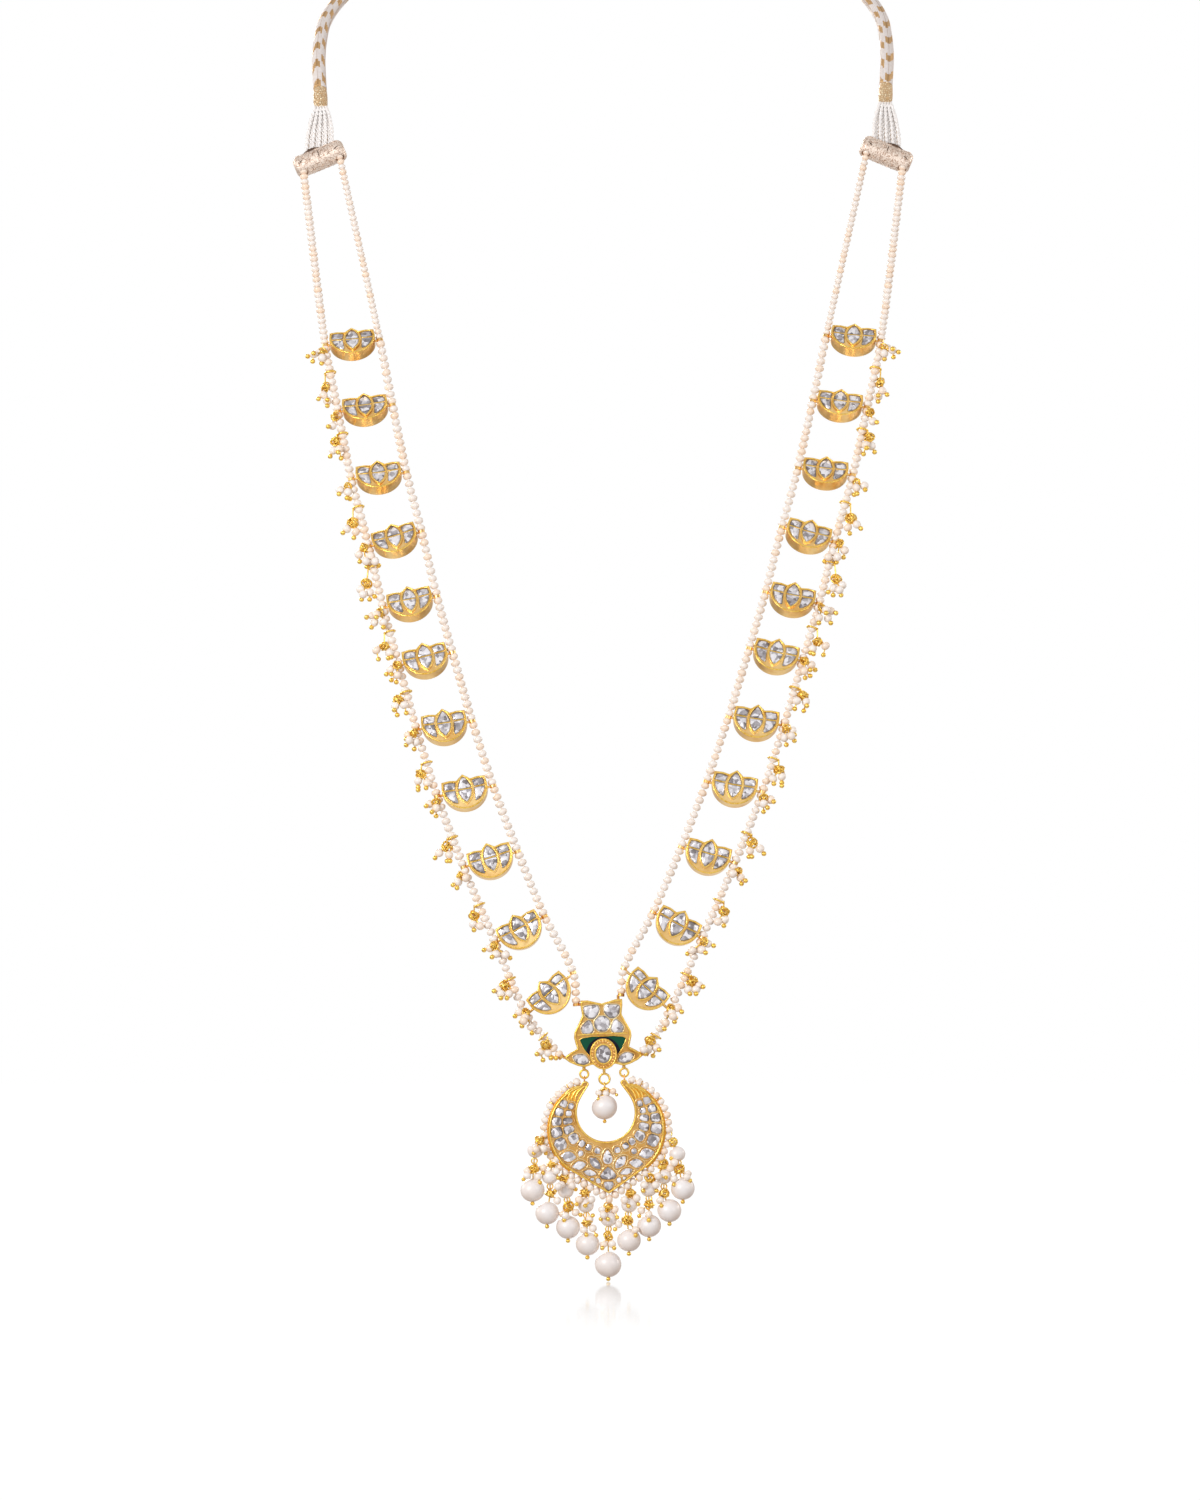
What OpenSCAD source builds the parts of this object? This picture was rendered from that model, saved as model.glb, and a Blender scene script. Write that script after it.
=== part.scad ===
// Long necklace: a woven neck cord, two seed pearl strings a side with lotus plaques between them,
// and a stone-set crescent pendant with a fringe of pearls.
// Millimetres, +Z up, the front faces -Y, the origin is under the cord at the nape.

/* [Neck cord] */
// Diameter of the woven cord
cord_d = 4.5; // [3.5:0.1:5]
// Length of the gold-thread collar on each end of the cord
collar_len = 8.0; // [6:0.1:9]
// Diameter of the collar
collar_d = 4.3; // [3.6:0.1:5]

/* [Spacer bars] */
// Length of a bar
bar_len = 17.8; // [16:0.1:19]
// Diameter of a bar
bar_d = 7.4; // [6.5:0.1:8]
// Radius of the rounded ends
bar_round = 2; // [1:0.1:3]

/* [Strings] */
// Outer diameter of a seed pearl string
string_d = 2.6; // [2.2:0.1:2.8]
// Diameter of its thread where it runs through a loop
thread_d = 0.7; // [0.5:0.05:0.8]
// Outer diameter of a gold thread loop
loop_d = 2.2; // [1.8:0.1:2.4]
// Length of a thread loop
loop_len = 0.9; // [0.6:0.1:1]

/* [Lotus plaques] */
// Width of a plaque
plaque_w = 15.2; // [14.6:0.1:15.6]
// Thickness of a plaque, its rims included
plaque_t = 3.8; // [3:0.1:4.4]
// Height of the raised rims
rim_rise = 0.45; // [0.2:0.05:0.7]
// Width of the raised rims
rim_w = 0.6; // [0.4:0.05:0.8]

/* [Stones] */
// Gap between a stone and the wall of its seat
stone_gap = 0.14; // [0.12:0.01:0.18]
// Depth of a seat below the gold
seat_deep = 1.0; // [0.7:0.1:1.3]
// Share of a stone's outline that its table keeps
table_share = 0.62; // [0.45:0.01:0.75]

/* [Bunches] */
// Diameter of a seed pearl in a bunch
seed_d = 2.5; // [2:0.1:2.7]
// Diameter of the gold knot
knot_d = 2.4; // [1.8:0.1:2.6]
// Wire of the ring round the string
bunch_wire = 0.5; // [0.4:0.05:0.55]

/* [Pendant] */
// Thickness of the pendant top and the crescent
pendant_t = 3.6; // [3:0.1:4]
// How far the pendant hangs turned, its right side up
pendant_tilt = 2.3; // [0:0.1:3]
// Radius of the crescent's opening
opening_r = 9.5; // [9:0.1:10]
// Radius of the crescent's outer arcs
crescent_r = 15.8; // [15.4:0.1:16]
// Outer diameter of the side rings
side_ring_d = 3.3; // [3:0.1:3.5]
// Outer diameter of the middle ring
middle_ring_d = 4.0; // [3.8:0.1:4.2]
// Wire of the rings
ring_wire = 0.6; // [0.5:0.05:0.6]

/* [Pearls] */
// Diameter of the pearls at the ends of the drops
large_pearl_d = 7.9; // [7:0.1:7.9]
// Diameter of the lowest pearl
lowest_pearl_d = 8.7; // [8:0.1:8.9]
// Diameter of the pearls halfway down the drops
upper_pearl_d = 5.3; // [4.5:0.1:5.4]
// Diameter of the pearl in the crescent's opening
centre_pearl_d = 8.4; // [7.8:0.1:8.8]
// Wire of the drops
drop_wire = 0.6; // [0.4:0.05:0.65]

/* [Hidden] */
plaque_count = 11;
drop_count = 9;
left = "left";
right = "right";
$fn = 40;
gap = 0.1;

pearl = "#f1e2da";
gold = "#d9a441";
rose_gold = "#d2ab8b";
crystal = "#cfd0d8";
enamel = "#0b5a41";

// The right strand hangs a little higher, and nearer the middle the lower it comes
right_rise = 1.4;
sway_start = -173;
sway_rate = 0.0144;
function sway(z) = sway_rate * min(0, z - sway_start);
function placed(p, side) = side == left ? p : [sway(p.z) - p.x, p.y, p.z + right_rise];
function outward(side) = side == left ? -1 : 1;

// Vectors and turned points: lean tips the top back, roll lifts the inner end
function unit(v) = v / norm(v);
function posed(p, lean, roll) =
    let (y = p.y * cos(lean) + p.z * sin(lean), z = p.z * cos(lean) - p.y * sin(lean))
    [p.x * cos(roll) - z * sin(roll), y, p.x * sin(roll) + z * cos(roll)];
module hung(at, lean, roll, side) {
    translate(placed(at, side))
        if (side == left) rotate([-lean, -roll, 0]) children();
        else mirror([1, 0, 0]) rotate([-lean, -roll, 0]) children();
}
module aim(at, way) {
    translate(at) rotate([0, acos(way.z), atan2(way.y, way.x)]) children();
}
module rod(from, to, d) {
    aim(from, unit(to - from)) cylinder(d = d, h = norm(to - from));
}
module wire_ring(d, wire) {
    rotate_extrude($fn = 20) translate([(d - wire) / 2, 0]) circle(d = wire, $fn = 20);
}
// A flat shape stood up in the XZ plane, from y = back to y = front
module plate(back, front) {
    translate([0, back, 0]) rotate([90, 0, 0]) linear_extrude(back - front) children();
}

// Lofts: a closed skin over a list of rings with equal numbers of points
module loft(rings) {
    n = len(rings[0]);
    last = len(rings) - 1;
    polyhedron(
        points = [for (r = rings) each r],
        faces = concat(
            [[for (k = [0:n - 1]) k]],
            [for (i = [0:last - 1]) for (k = [0:n - 1])
                [i * n + k, (i + 1) * n + k, (i + 1) * n + (k + 1) % n, i * n + (k + 1) % n]],
            [[for (k = [n - 1:-1:0]) last * n + k]]
        ),
        convexity = 10
    );
}
function ring_of(at, way, d, n) =
    let (a = unit(cross([0, 1, 0], way)), b = cross(way, a))
    [for (k = [0:n - 1]) at + d / 2 * (cos(360 * k / n) * a + sin(360 * k / n) * b)];

// A smooth route through stops: place and direction at share s of stretch i
function heading(p, i) = unit(p[min(i + 1, len(p) - 1)] - p[max(i - 1, 0)]);
function along(p, i, s) =
    let (a = p[i], b = p[i + 1], c = norm(b - a), s2 = s * s, s3 = s2 * s)
    (2 * s3 - 3 * s2 + 1) * a + (s3 - 2 * s2 + s) * c * heading(p, i)
    + (3 * s2 - 2 * s3) * b + (s3 - s2) * c * heading(p, i + 1);
function course(p, i, s) = unit(along(p, i, s + 0.01) - along(p, i, s - 0.01));

// Neck cord: left half of its route from the collar to the nape, the right half mirrors it
cord_half = [
    [-94.5, -97.5, -87.0],
    [-95.0, -90.5, -77.5],
    [-94.6, -83.5, -70.5],
    [-93.2, -76.0, -63.8],
    [-88.8, -66.0, -56.6],
    [-79.5, -54.0, -47.0],
    [-66.0, -39.0, -34.0],
    [-49.0, -23.0, -20.5],
    [-30.0, -9.5, -8.5],
    [-13.0, -2.0, -0.4]
];
nape = [0, 0, cord_d / 2];
cord_route = concat(
    cord_half,
    [nape],
    [for (k = [len(cord_half) - 1:-1:0]) let (p = cord_half[k])
        [-p.x, p.y, p.z + right_rise * p.x / cord_half[0].x]]
);
cord_steps = 3;
module neck_cord() {
    last = len(cord_route) - 2;
    color("lightgray")
        loft(concat(
            [for (i = [0:last]) for (j = [0:cord_steps - 1])
                ring_of(along(cord_route, i, j / cord_steps), course(cord_route, i, j / cord_steps), cord_d, 8)],
            [ring_of(along(cord_route, last, 1), course(cord_route, last, 1), cord_d, 8)]
        ));
}

// Collars: gold thread wound over the ends of the cord
collar_top = cord_half[0];
collar_foot = [-94.2, -103.2, -93.3];
module cord_collar(side) {
    foot = placed(collar_foot, side);
    top = placed(collar_top, side);
    way = unit(foot - top);
    color("goldenrod") rod(top + 3 * gap * way, foot - gap / 2 * way, collar_d);
}

// Spacer bars: barrels that carry the two strings of a strand
bar_at = [-94.4, -113.0, -110.4];
bar_lean = 30;
bar_roll = 22.5;
outer_hole = [-6.6, -1.0, -2.4];
inner_hole = [6.4, -1.0, -2.4];
fan_slot = [11.2, 3.0, 1.6];
module string_hole(at) {
    translate([at.x, at.y, -bar_d]) cylinder(d = string_d + 3 * gap, h = bar_d + at.z + 2 * gap);
}
module spacer_bar(side) {
    color(rose_gold) hung(bar_at, bar_lean, bar_roll, side)
        difference() {
            rotate([0, 90, 0]) rotate_extrude() bar_outline();
            string_hole(outer_hole);
            string_hole(inner_hole);
            translate([0.6, 0, bar_d / 2 - fan_slot.z / 2]) cube(fan_slot, center = true);
        }
}
module bar_outline() {
    half = bar_len / 2 - bar_round;
    core = bar_d / 2 - bar_round;
    translate([0, -bar_len / 2]) square([core, bar_len]);
    translate([0, -half]) square([bar_d / 2, 2 * half]);
    for (end = [-half, half])
        intersection() {
            translate([core, end]) circle(r = bar_round);
            translate([0, end - bar_round]) square([bar_d / 2, 2 * bar_round]);
        }
}

// Thread fans: from the collar down into the slot of the bar
// share of the way down, half width, half thickness
fan_sections = [
    [0.00, 2.0, 1.95],
    [0.25, 2.9, 1.6],
    [0.60, 4.0, 1.2],
    [1.00, 4.9, 0.9]
];
fan_foot = bar_at + posed([0.6, 0, bar_d / 2 - fan_slot.z + 2 * gap], bar_lean, bar_roll);
module thread_fan(side) {
    top = collar_foot + gap * [0, -1, -1];
    down = unit(fan_foot - top);
    fan_roll = [0, 5, 14, bar_roll];
    fan_lean = [42, 38, 33, bar_lean];
    color("whitesmoke") hung([0, 0, 0], 0, 0, left)
        loft([for (i = [0:len(fan_sections) - 1]) let (row = fan_sections[i], m = top + row[0] * (fan_foot - top))
            [for (k = [0:15]) let (a = 22.5 * k)
                placed(m + posed([row[1] * cos(a), row[2] * sin(a), 0], fan_lean[i], fan_roll[i]), side)]]);
}

// Lotus plaques of the left strand, from the top: middle x, y, z, roll, lean and how far out the loops sit
plaque_rows = [
    [-83.1, -145.5, -172.8, 5.5, 45, 9.1],
    [-78.8, -154.0, -194.7, 7, 43, 9.1],
    [-74.2, -162.0, -217.2, 7, 41, 9.2],
    [-68.7, -169.0, -238.2, 16, 38, 9.1],
    [-63.7, -175.0, -259.2, 12, 33, 9.1],
    [-58.5, -179.5, -278.0, 13.5, 27, 9.1],
    [-52.3, -184.0, -300.0, 8.5, 22, 9.3],
    [-45.4, -188.0, -321.7, 10.5, 18, 9.4],
    [-36.9, -191.0, -344.2, 16, 12, 9.3],
    [-27.1, -193.0, -367.3, 28, 7, 9.2],
    [-17.1, -194.5, -388.4, 42, 4, 10.3]
];
function middle_of(row) = [row[0], row[1], row[2]];
function roll_of(row) = row[3];
function lean_of(row) = row[4];
function reach_of(row) = row[5];

bowl_r = plaque_w / 2;
bowl_z = 1.6;
corner = [7.3, 4.3];
almond_tip = 5.2;
almond_half = 2.85;
almond_z = 0.75;
almond_r = (almond_tip * almond_tip + almond_half * almond_half) / (2 * almond_half);
loop_z = 0.6;

// The lotus outline and its middle petal, both drawn smaller by inset
module almond(inset) {
    translate([0, almond_z])
        intersection() {
            translate([almond_r - almond_half, 0]) circle(r = almond_r - inset);
            translate([almond_half - almond_r, 0]) circle(r = almond_r - inset);
        }
}
module lotus(inset) {
    intersection() {
        translate([0, bowl_z]) circle(r = bowl_r - inset);
        translate([-bowl_r, bowl_z - 2 * bowl_r]) square(2 * bowl_r);
    }
    polygon([
        [inset - bowl_r, bowl_z - 0.01],
        [bowl_r - inset, bowl_z - 0.01],
        [corner.x - inset, corner.y - 1.2 * inset],
        [4.6, 4.5 - inset],
        [2.2, 4.1 - inset],
        [-2.2, 4.1 - inset],
        [-4.6, 4.5 - inset],
        [inset - corner.x, corner.y - 1.2 * inset]
    ]);
    almond(inset);
}

// Stone outlines, eight corners each, run against the clock
upper_middle = [[1.9, 1.15], [2.0, 2.2], [1.2, 3.6], [0.25, 4.75], [-0.25, 4.75], [-1.2, 3.6], [-2.0, 2.2], [-1.9, 1.15]];
lower_middle = [[2.0, 0.75], [-2.0, 0.75], [-1.95, -0.6], [-1.4, -2.0], [-0.3, -3.4], [0.3, -3.4], [1.4, -2.0], [1.95, -0.6]];
upper_side = [[6.45, 1.5], [6.55, 2.6], [6.2, 3.55], [4.2, 3.75], [3.05, 3.3], [3.3, 2.4], [3.45, 1.6], [4.6, 1.1]];
lower_side = [[6.4, 0.9], [4.7, 0.55], [3.5, 1.0], [3.45, 0.1], [3.1, -1.4], [2.6, -2.9], [4.1, -2.9], [5.6, -1.3]];
function flipped(o) = [for (k = [len(o) - 1:-1:0]) [-o[k].x, o[k].y]];
plaque_stones = [upper_middle, lower_middle, upper_side, lower_side, flipped(upper_side), flipped(lower_side)];

function centre_of(o) = [for (c = [0, 1]) [for (p = o) p[c]] * [for (p = o) 1] / len(o)];
function grown(o, by) = let (m = centre_of(o)) [for (p = o) p + by * unit(p - m)];
function shrunk(o, share) = let (m = centre_of(o)) [for (p = o) m + share * (p - m)];
function lifted(o, y) = [for (p = o) [p.x, y, p.y]];

// A flat-backed cut stone with a table and eight crown facets, and a girdle where tall is over 0
module gem(o, base, top, tall) {
    table = lifted(shrunk(o, table_share), top);
    loft(tall > 0 ? [lifted(o, base), lifted(o, base - tall), table] : [lifted(o, base), table]);
}
module seat(o, face) {
    plate(face + seat_deep, face - 1) polygon(grown(o, stone_gap));
}

plaque_field = rim_rise - plaque_t / 2;
module plaque(k, side) {
    row = plaque_rows[k - 1];
    color(gold) {
        hung(middle_of(row), lean_of(row), roll_of(row), side) {
            difference() {
                union() {
                    plate(plaque_t / 2, plaque_field) lotus(0);
                    plate(0, -plaque_t / 2)
                        difference() {
                            lotus(0);
                            lotus(rim_w);
                        }
                    plate(0, -plaque_t / 2)
                        difference() {
                            almond(0);
                            almond(rim_w);
                        }
                }
                for (o = plaque_stones) seat(o, plaque_field);
            }
            for (end = [-1, 1])
                rod([end * (bowl_r - 0.5), 0, loop_z], [end * (reach_of(row) - loop_d / 2 + 0.15), 0, loop_z], 0.9);
        }
        for (which = ["outer", "inner"])
            thread_loop(string_stops(side, which), k);
    }
}
module set_stones(side) {
    color(crystal)
        for (row = plaque_rows)
            hung(middle_of(row), lean_of(row), roll_of(row), side)
                for (o = plaque_stones)
                    gem(o, plaque_field + seat_deep - gap, plaque_field - 0.45, 0);
}

// A short gold tube round the thread at stop k
module thread_loop(stops, k) {
    aim(stops[k], heading(stops, k))
        difference() {
            cylinder(d = loop_d, h = loop_len, center = true);
            cylinder(d = thread_d + 4 * gap, h = 2 * loop_len, center = true);
        }
}

// Pearl strings: stops in the bar, in the loops of each plaque and on the pendant top
function loop_stop(row, which) =
    middle_of(row) + posed([(which == "outer" ? -1 : 1) * reach_of(row), 0, loop_z], lean_of(row), roll_of(row));
function bar_stop(which) = bar_at + posed(which == "outer" ? outer_hole : inner_hole, bar_lean, bar_roll);
function pendant_stop(side, which) =
    which == "outer" ? pendant_point([outward(side) * 13.9, 0, 7.2])
    : side == left ? pendant_point([-8.3, 0, 24.3]) : pendant_point([6.6, 0, 26.9]);
function string_stops(side, which) = concat(
    [placed(bar_stop(which), side)],
    [for (row = plaque_rows) placed(loop_stop(row, which), side)],
    [pendant_stop(side, which)]
);
module pearl_string(side, which) {
    p = string_stops(side, which);
    last = len(p) - 2;
    narrow = loop_len / 2 + gap;
    full = loop_len / 2 + 0.95;
    color(pearl)
        loft(concat(
            [for (i = [0:last]) let (c = norm(p[i + 1] - p[i]))
                for (m = [
                    [i == 0 ? 0 : narrow / c, i == 0 ? string_d : thread_d],
                    [i == 0 ? 0.15 : full / c, string_d],
                    [0.35, string_d],
                    [0.65, string_d],
                    [1 - full / c, string_d],
                    [1 - narrow / c, thread_d]
                ]) ring_of(along(p, i, m[0]), course(p, i, m[0]), m[1], 8)],
            [ring_of(p[last + 1], heading(p, last + 1), thread_d, 8)]
        ));
}

// Bunches: where the ring of each free bunch sits, as a share of the way to the next plaque
bunch_shares = [0.42, 0.33, 0.43, 0.36, 0.42, 0.38, 0.47, 0.50, 0.45, 0.48, 0.46];
bunch_ring_d = string_d + 2 * bunch_wire + 3 * gap;
below_loop = 2.8;
free_knot = [2.4, -0.5, -3.9];
near_knot = [2.6, -0.8, -0.2];
seed_places = [[1.7, 0.2, -1.3], [-0.3, 0.1, -2.1], [0.6, -1.3, -1.6]];
module bunch(at, way, knot_way, side) {
    out = outward(side);
    knot = at + [out * knot_way.x, knot_way.y, knot_way.z];
    edge = at + (bunch_ring_d - bunch_wire) / 2 * unit(cross(cross(way, [out, 0, -0.3]), way));
    aim(at, way)
        difference() {
            cylinder(d = bunch_ring_d, h = bunch_wire, center = true);
            cylinder(d = bunch_ring_d - 2 * bunch_wire, h = 2 * bunch_wire, center = true);
        }
    rod(edge, knot, bunch_wire);
    translate(knot) sphere(d = knot_d);
    for (s = seed_places) translate(knot + [out * s.x, s.y, s.z]) sphere(d = seed_d);
}
module bunches(side) {
    p = string_stops(side, "outer");
    color(pearl)
        for (k = [1:plaque_count]) {
            near = below_loop / norm(p[k + 1] - p[k]);
            bunch(along(p, k, near), course(p, k, near), near_knot, side);
            bunch(along(p, k, bunch_shares[k - 1]), course(p, k, bunch_shares[k - 1]), free_knot, side);
        }
}

// Pendant: its own frame is turned by the tilt, with its origin on the swing axis of the crescent
pendant_at = [0.45, -195, -415.5];
function turned(p) =
    [p.x * cos(pendant_tilt) - p.z * sin(pendant_tilt), p.y, p.x * sin(pendant_tilt) + p.z * cos(pendant_tilt)];
function pendant_point(p) = pendant_at + turned(p);
module pendant() {
    translate(pendant_at) rotate([0, -pendant_tilt, 0]) children();
}

ring_r = (side_ring_d - ring_wire) / 2;
ring_spread = 6.6;
middle_ring_r = (middle_ring_d - ring_wire) / 2;
middle_ring_z = -0.55;
face_y = -pendant_t / 2;
field_y = face_y + rim_rise;

// Outline of the pendant top, right half from the dip of its upper edge to the setting
top_half = [
    [0, 24.4], [2.4, 25.0], [4.6, 25.6], [6.9, 25.6], [6.9, 23.6], [6.5, 20.6], [7.9, 17.8], [9.3, 15.2],
    [9.5, 13.4], [9.0, 11.2], [8.6, 9.8], [10.8, 8.6], [13.2, 6.9], [11.2, 5.3], [8.6, 4.1],
    [6.4, 3.6], [3.6, 4.4], [0, 2.3]
];
function both_halves(half) = concat(half, [for (k = [len(half) - 2:-1:1]) [-half[k].x, half[k].y]]);
function inward(half, by) =
    [for (k = [0:len(half) - 1]) let (
        a = half[max(k - 1, 0)], b = half[min(k + 1, len(half) - 1)],
        d = k == 0 || k == len(half) - 1 ? [1, 0] * (k == 0 ? 1 : -1) : unit(b - a)
    ) half[k] + by * [d.y, -d.x]];
setting_at = [0, 7.7];
setting_half = [4.45, 5.1];
oval_half = [2.45, 2.95];
function oval_outline(at, half, n) = [for (k = [0:n - 1]) at + [half.x * cos(360 * k / n), half.y * sin(360 * k / n)]];
enamel_half = [
    [0, 13.6], [3.5, 13.7], [6.8, 13.3], [7.7, 12.7], [7.3, 11.3], [6.3, 9.3], [4.7, 7.2], [0, 7.2]
];
module enamel_area(inset) {
    difference() {
        polygon(both_halves(inward(enamel_half, inset)));
        polygon(oval_outline(setting_at, setting_half + inset * [1, 1], 32));
    }
}

// Outlines of loose stones, w wide and h high about their own middle
function stone_shape(kind, w, h) = let (a = w / 2, b = h / 2)
    kind == "leaf" ? [[a, 0], [a / 2, 0.76 * b], [0, b], [-a / 2, 0.76 * b], [-a, 0], [-a / 2, -0.76 * b], [0, -b], [a / 2, -0.76 * b]]
    : kind == "pear" ? [[0, b], [-0.6 * a, 0.4 * b], [-a, -0.3 * b], [-0.7 * a, -0.84 * b], [0, -b], [0.7 * a, -0.84 * b], [a, -0.3 * b], [0.6 * a, 0.4 * b]]
    : kind == "dee" ? [[0.84 * a, b], [-0.84 * a, b], [-a, 0.4 * b], [-0.8 * a, -0.4 * b], [-0.3 * a, -b], [0.3 * a, -b], [0.8 * a, -0.4 * b], [a, 0.4 * b]]
    : kind == "almond" ? [[0, b], [-0.74 * a, 0.5 * b], [-a, 0], [-0.74 * a, -0.5 * b], [0, -b], [0.74 * a, -0.5 * b], [a, 0], [0.74 * a, 0.5 * b]]
    : kind == "tent" ? [[0, b], [-0.5 * a, 0.42 * b], [-a, -0.4 * b], [-0.8 * a, -0.84 * b], [0, -b], [0.8 * a, -0.84 * b], [a, -0.4 * b], [0.5 * a, 0.42 * b]]
    : kind == "bud" ? [[0.8 * a, b], [-0.8 * a, b], [-a, 0.5 * b], [-0.75 * a, -0.35 * b], [-0.2 * a, -b], [0.2 * a, -b], [0.75 * a, -0.35 * b], [a, 0.5 * b]]
    : kind == "cushion" ? [[a, 0.5 * b], [0.6 * a, b], [-0.6 * a, b], [-a, 0.5 * b], [-a, -0.5 * b], [-0.6 * a, -b], [0.6 * a, -b], [a, -0.5 * b]]
    : [for (t = [22.5:45:337.5]) [a * cos(t), b * sin(t)] * 1.05];
function turned_flat(o, angle, at) =
    [for (p = o) at + [p.x * cos(angle) - p.y * sin(angle), p.x * sin(angle) + p.y * cos(angle)]];
function two_sided(stones) = concat(stones, [for (o = stones) flipped(o)]);

// Stones of the pendant top: kind, width, height, turn and place
top_pairs = [
    ["dee", 4.7, 3.6, -4, [3.4, 21.7]],
    ["pear", 3.5, 4.2, 12, [4.8, 16.7]],
    ["leaf", 5.0, 2.7, 18, [7.4, 6.2]]
];
top_middle = [["round", 4.4, 4.4, 0, [0, 17.7]]];
oval_stone = stone_shape("round", 2 * oval_half.x, 2 * oval_half.y);
function shaped(row) = turned_flat(stone_shape(row[0], row[1], row[2]), row[3], row[4]);
top_stones = concat(two_sided([for (row = top_pairs) shaped(row)]), [for (row = top_middle) shaped(row)]);
setting_face = face_y - 1.4;

module pendant_top() {
    color(gold) {
        pendant() {
            difference() {
                union() {
                    plate(pendant_t / 2, field_y) polygon(both_halves(top_half));
                    plate(0, face_y)
                        difference() {
                            polygon(both_halves(top_half));
                            polygon(both_halves(inward(top_half, 0.75)));
                        }
                    plate(0, face_y) top_rims();
                    plate(0, setting_face) polygon(oval_outline(setting_at, setting_half, 32));
                }
                for (o = top_stones) seat(o, field_y);
                plate(setting_face + seat_deep, setting_face - 1)
                    polygon(oval_outline(setting_at, oval_half + stone_gap * [1, 1], 24));
                plate(field_y + 0.7, field_y - 2) enamel_area(0);
            }
            for (s = [-1, 1]) {
                translate([s * ring_spread, 0, ring_r]) rotate([90, 0, 0]) wire_ring(side_ring_d, ring_wire);
                rod([s * ring_spread, 0, 2 * ring_r], [s * ring_spread, 0, 4.6], 1.0);
            }
            translate([0, 0, middle_ring_z]) rotate([90, 0, 0]) wire_ring(middle_ring_d, ring_wire);
            rod([0, 0, middle_ring_z + middle_ring_r], [0, 0, 3.2], 0.9);
            for (s = [-1, 1]) rod([s * 12.6, 0, 7.0], [s * 13.3, 0, 7.1], 0.9);
            rod([-6.5, 0, 24.3], [-7.5, 0, 24.3], 0.9);
            rod([5.6, 0, 25.0], [5.6, 0, 26.9], 0.9);
        }
        for (side = [left, right]) for (which = ["outer", "inner"])
            thread_loop(string_stops(side, which), plaque_count + 1);
    }
}
// Raised rims round the stones and over the enamel
module top_rims() {
    for (o = top_stones)
        difference() {
            polygon(grown(o, 0.6));
            polygon(grown(o, stone_gap));
        }
    translate([-8.6, 13.9]) square([17.2, 0.7]);
}
module pendant_top_stones() {
    color(crystal) pendant() {
        for (o = top_stones) gem(o, field_y + seat_deep - gap, field_y - 0.6, 0.3);
        translate([0, 0, setting_at.y])
            gem(oval_stone, setting_face + seat_deep - gap, setting_face - 0.3, 0.5);
    }
}
module pendant_top_enamel() {
    color(enamel) pendant() plate(field_y + 0.7 - gap, field_y + 0.1) enamel_area(gap);
}

// Crescent, in the pendant's frame
opening_z = -11.65;
arc_at = [3.3, -17.4];
point_z = -38.5;
horn = [6.4, -2.1];
horn_r = 1.15;
// Tangent from the lower point to the right arc
arc_way = atan2(point_z - arc_at.y, -arc_at.x);
arc_end = arc_way + acos(crescent_r / norm([arc_at.x, point_z - arc_at.y]));
module crescent_area(inset) {
    r = crescent_r - inset;
    difference() {
        union() {
            for (s = [-1, 1]) {
                translate([s * arc_at.x, arc_at.y]) circle(r = r);
                translate([s * horn.x, horn.y]) circle(r = horn_r - inset / 2);
            }
            polygon([
                [0, point_z + inset / 0.835],
                arc_at + r * [cos(arc_end), sin(arc_end)],
                [arc_at.x, arc_at.y],
                [-arc_at.x, arc_at.y],
                [-arc_at.x - r * cos(arc_end), arc_at.y + r * sin(arc_end)]
            ]);
        }
        translate([0, opening_z]) circle(r = opening_r + inset);
        polygon([
            [-8.2 - inset, -6.5], [-5.2 - inset / 2, -2.2], [-5.2 - inset / 2, 2],
            [5.2 + inset / 2, 2], [5.2 + inset / 2, -2.2], [8.2 + inset, -6.5]
        ]);
    }
}

// Stones of the crescent's right half, round the middle of the opening:
// kind, width, height, turn against the radius, distance and angle
crescent_pairs = [
    ["cushion", 2.5, 2.3, 0, 14.2, 14],
    ["cushion", 2.8, 2.7, 0, 15.4, 3],
    ["cushion", 3.3, 2.9, 0, 16.5, -8],
    ["cushion", 3.8, 3.4, 0, 17.5, -19.5],
    ["cushion", 3.6, 3.9, 8, 18.1, -32.5],
    ["almond", 3.3, 5.2, -34, 19.0, -47.4],
    ["almond", 2.8, 4.6, -37, 19.5, -61.1],
    ["almond", 1.9, 4.5, -1, 20.6, -73],
    ["cushion", 1.7, 1.9, 0, 11.7, 12.5],
    ["cushion", 1.8, 2.0, 0, 12.25, 1],
    ["cushion", 3.0, 2.1, 0, 12.9, -10],
    ["cushion", 3.3, 2.7, 0, 13.45, -22.5],
    ["cushion", 3.2, 3.3, 8, 13.6, -36.5],
    ["cushion", 2.0, 2.1, 0, 12.9, -50],
    ["round", 1.7, 1.7, 0, 15.8, -56],
    ["cushion", 1.9, 1.8, 0, 12.8, -61.2],
    ["cushion", 1.7, 1.6, 0, 12.9, -75.2],
    ["almond", 2.6, 5.2, 33, 17.1, -75.8],
    ["round", 1.0, 1.1, 0, 22.5, -76.3],
    ["round", 1.5, 1.5, 0, 22.6, -81.3]
];
crescent_middle = [
    ["pear", 3.1, 4.8, 0, [0, -26.25]],
    ["tent", 5.4, 4.2, 0, [0, -31.65]],
    ["bud", 3.2, 2.85, 0, [0, -35.93]]
];
function on_crescent(row) =
    turned_flat(stone_shape(row[0], row[1], row[2]), row[5] + row[3], [row[4] * cos(row[5]), opening_z + row[4] * sin(row[5])]);
crescent_gems = concat(two_sided([for (row = crescent_pairs) on_crescent(row)]), [for (row = crescent_middle) shaped(row)]);

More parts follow.
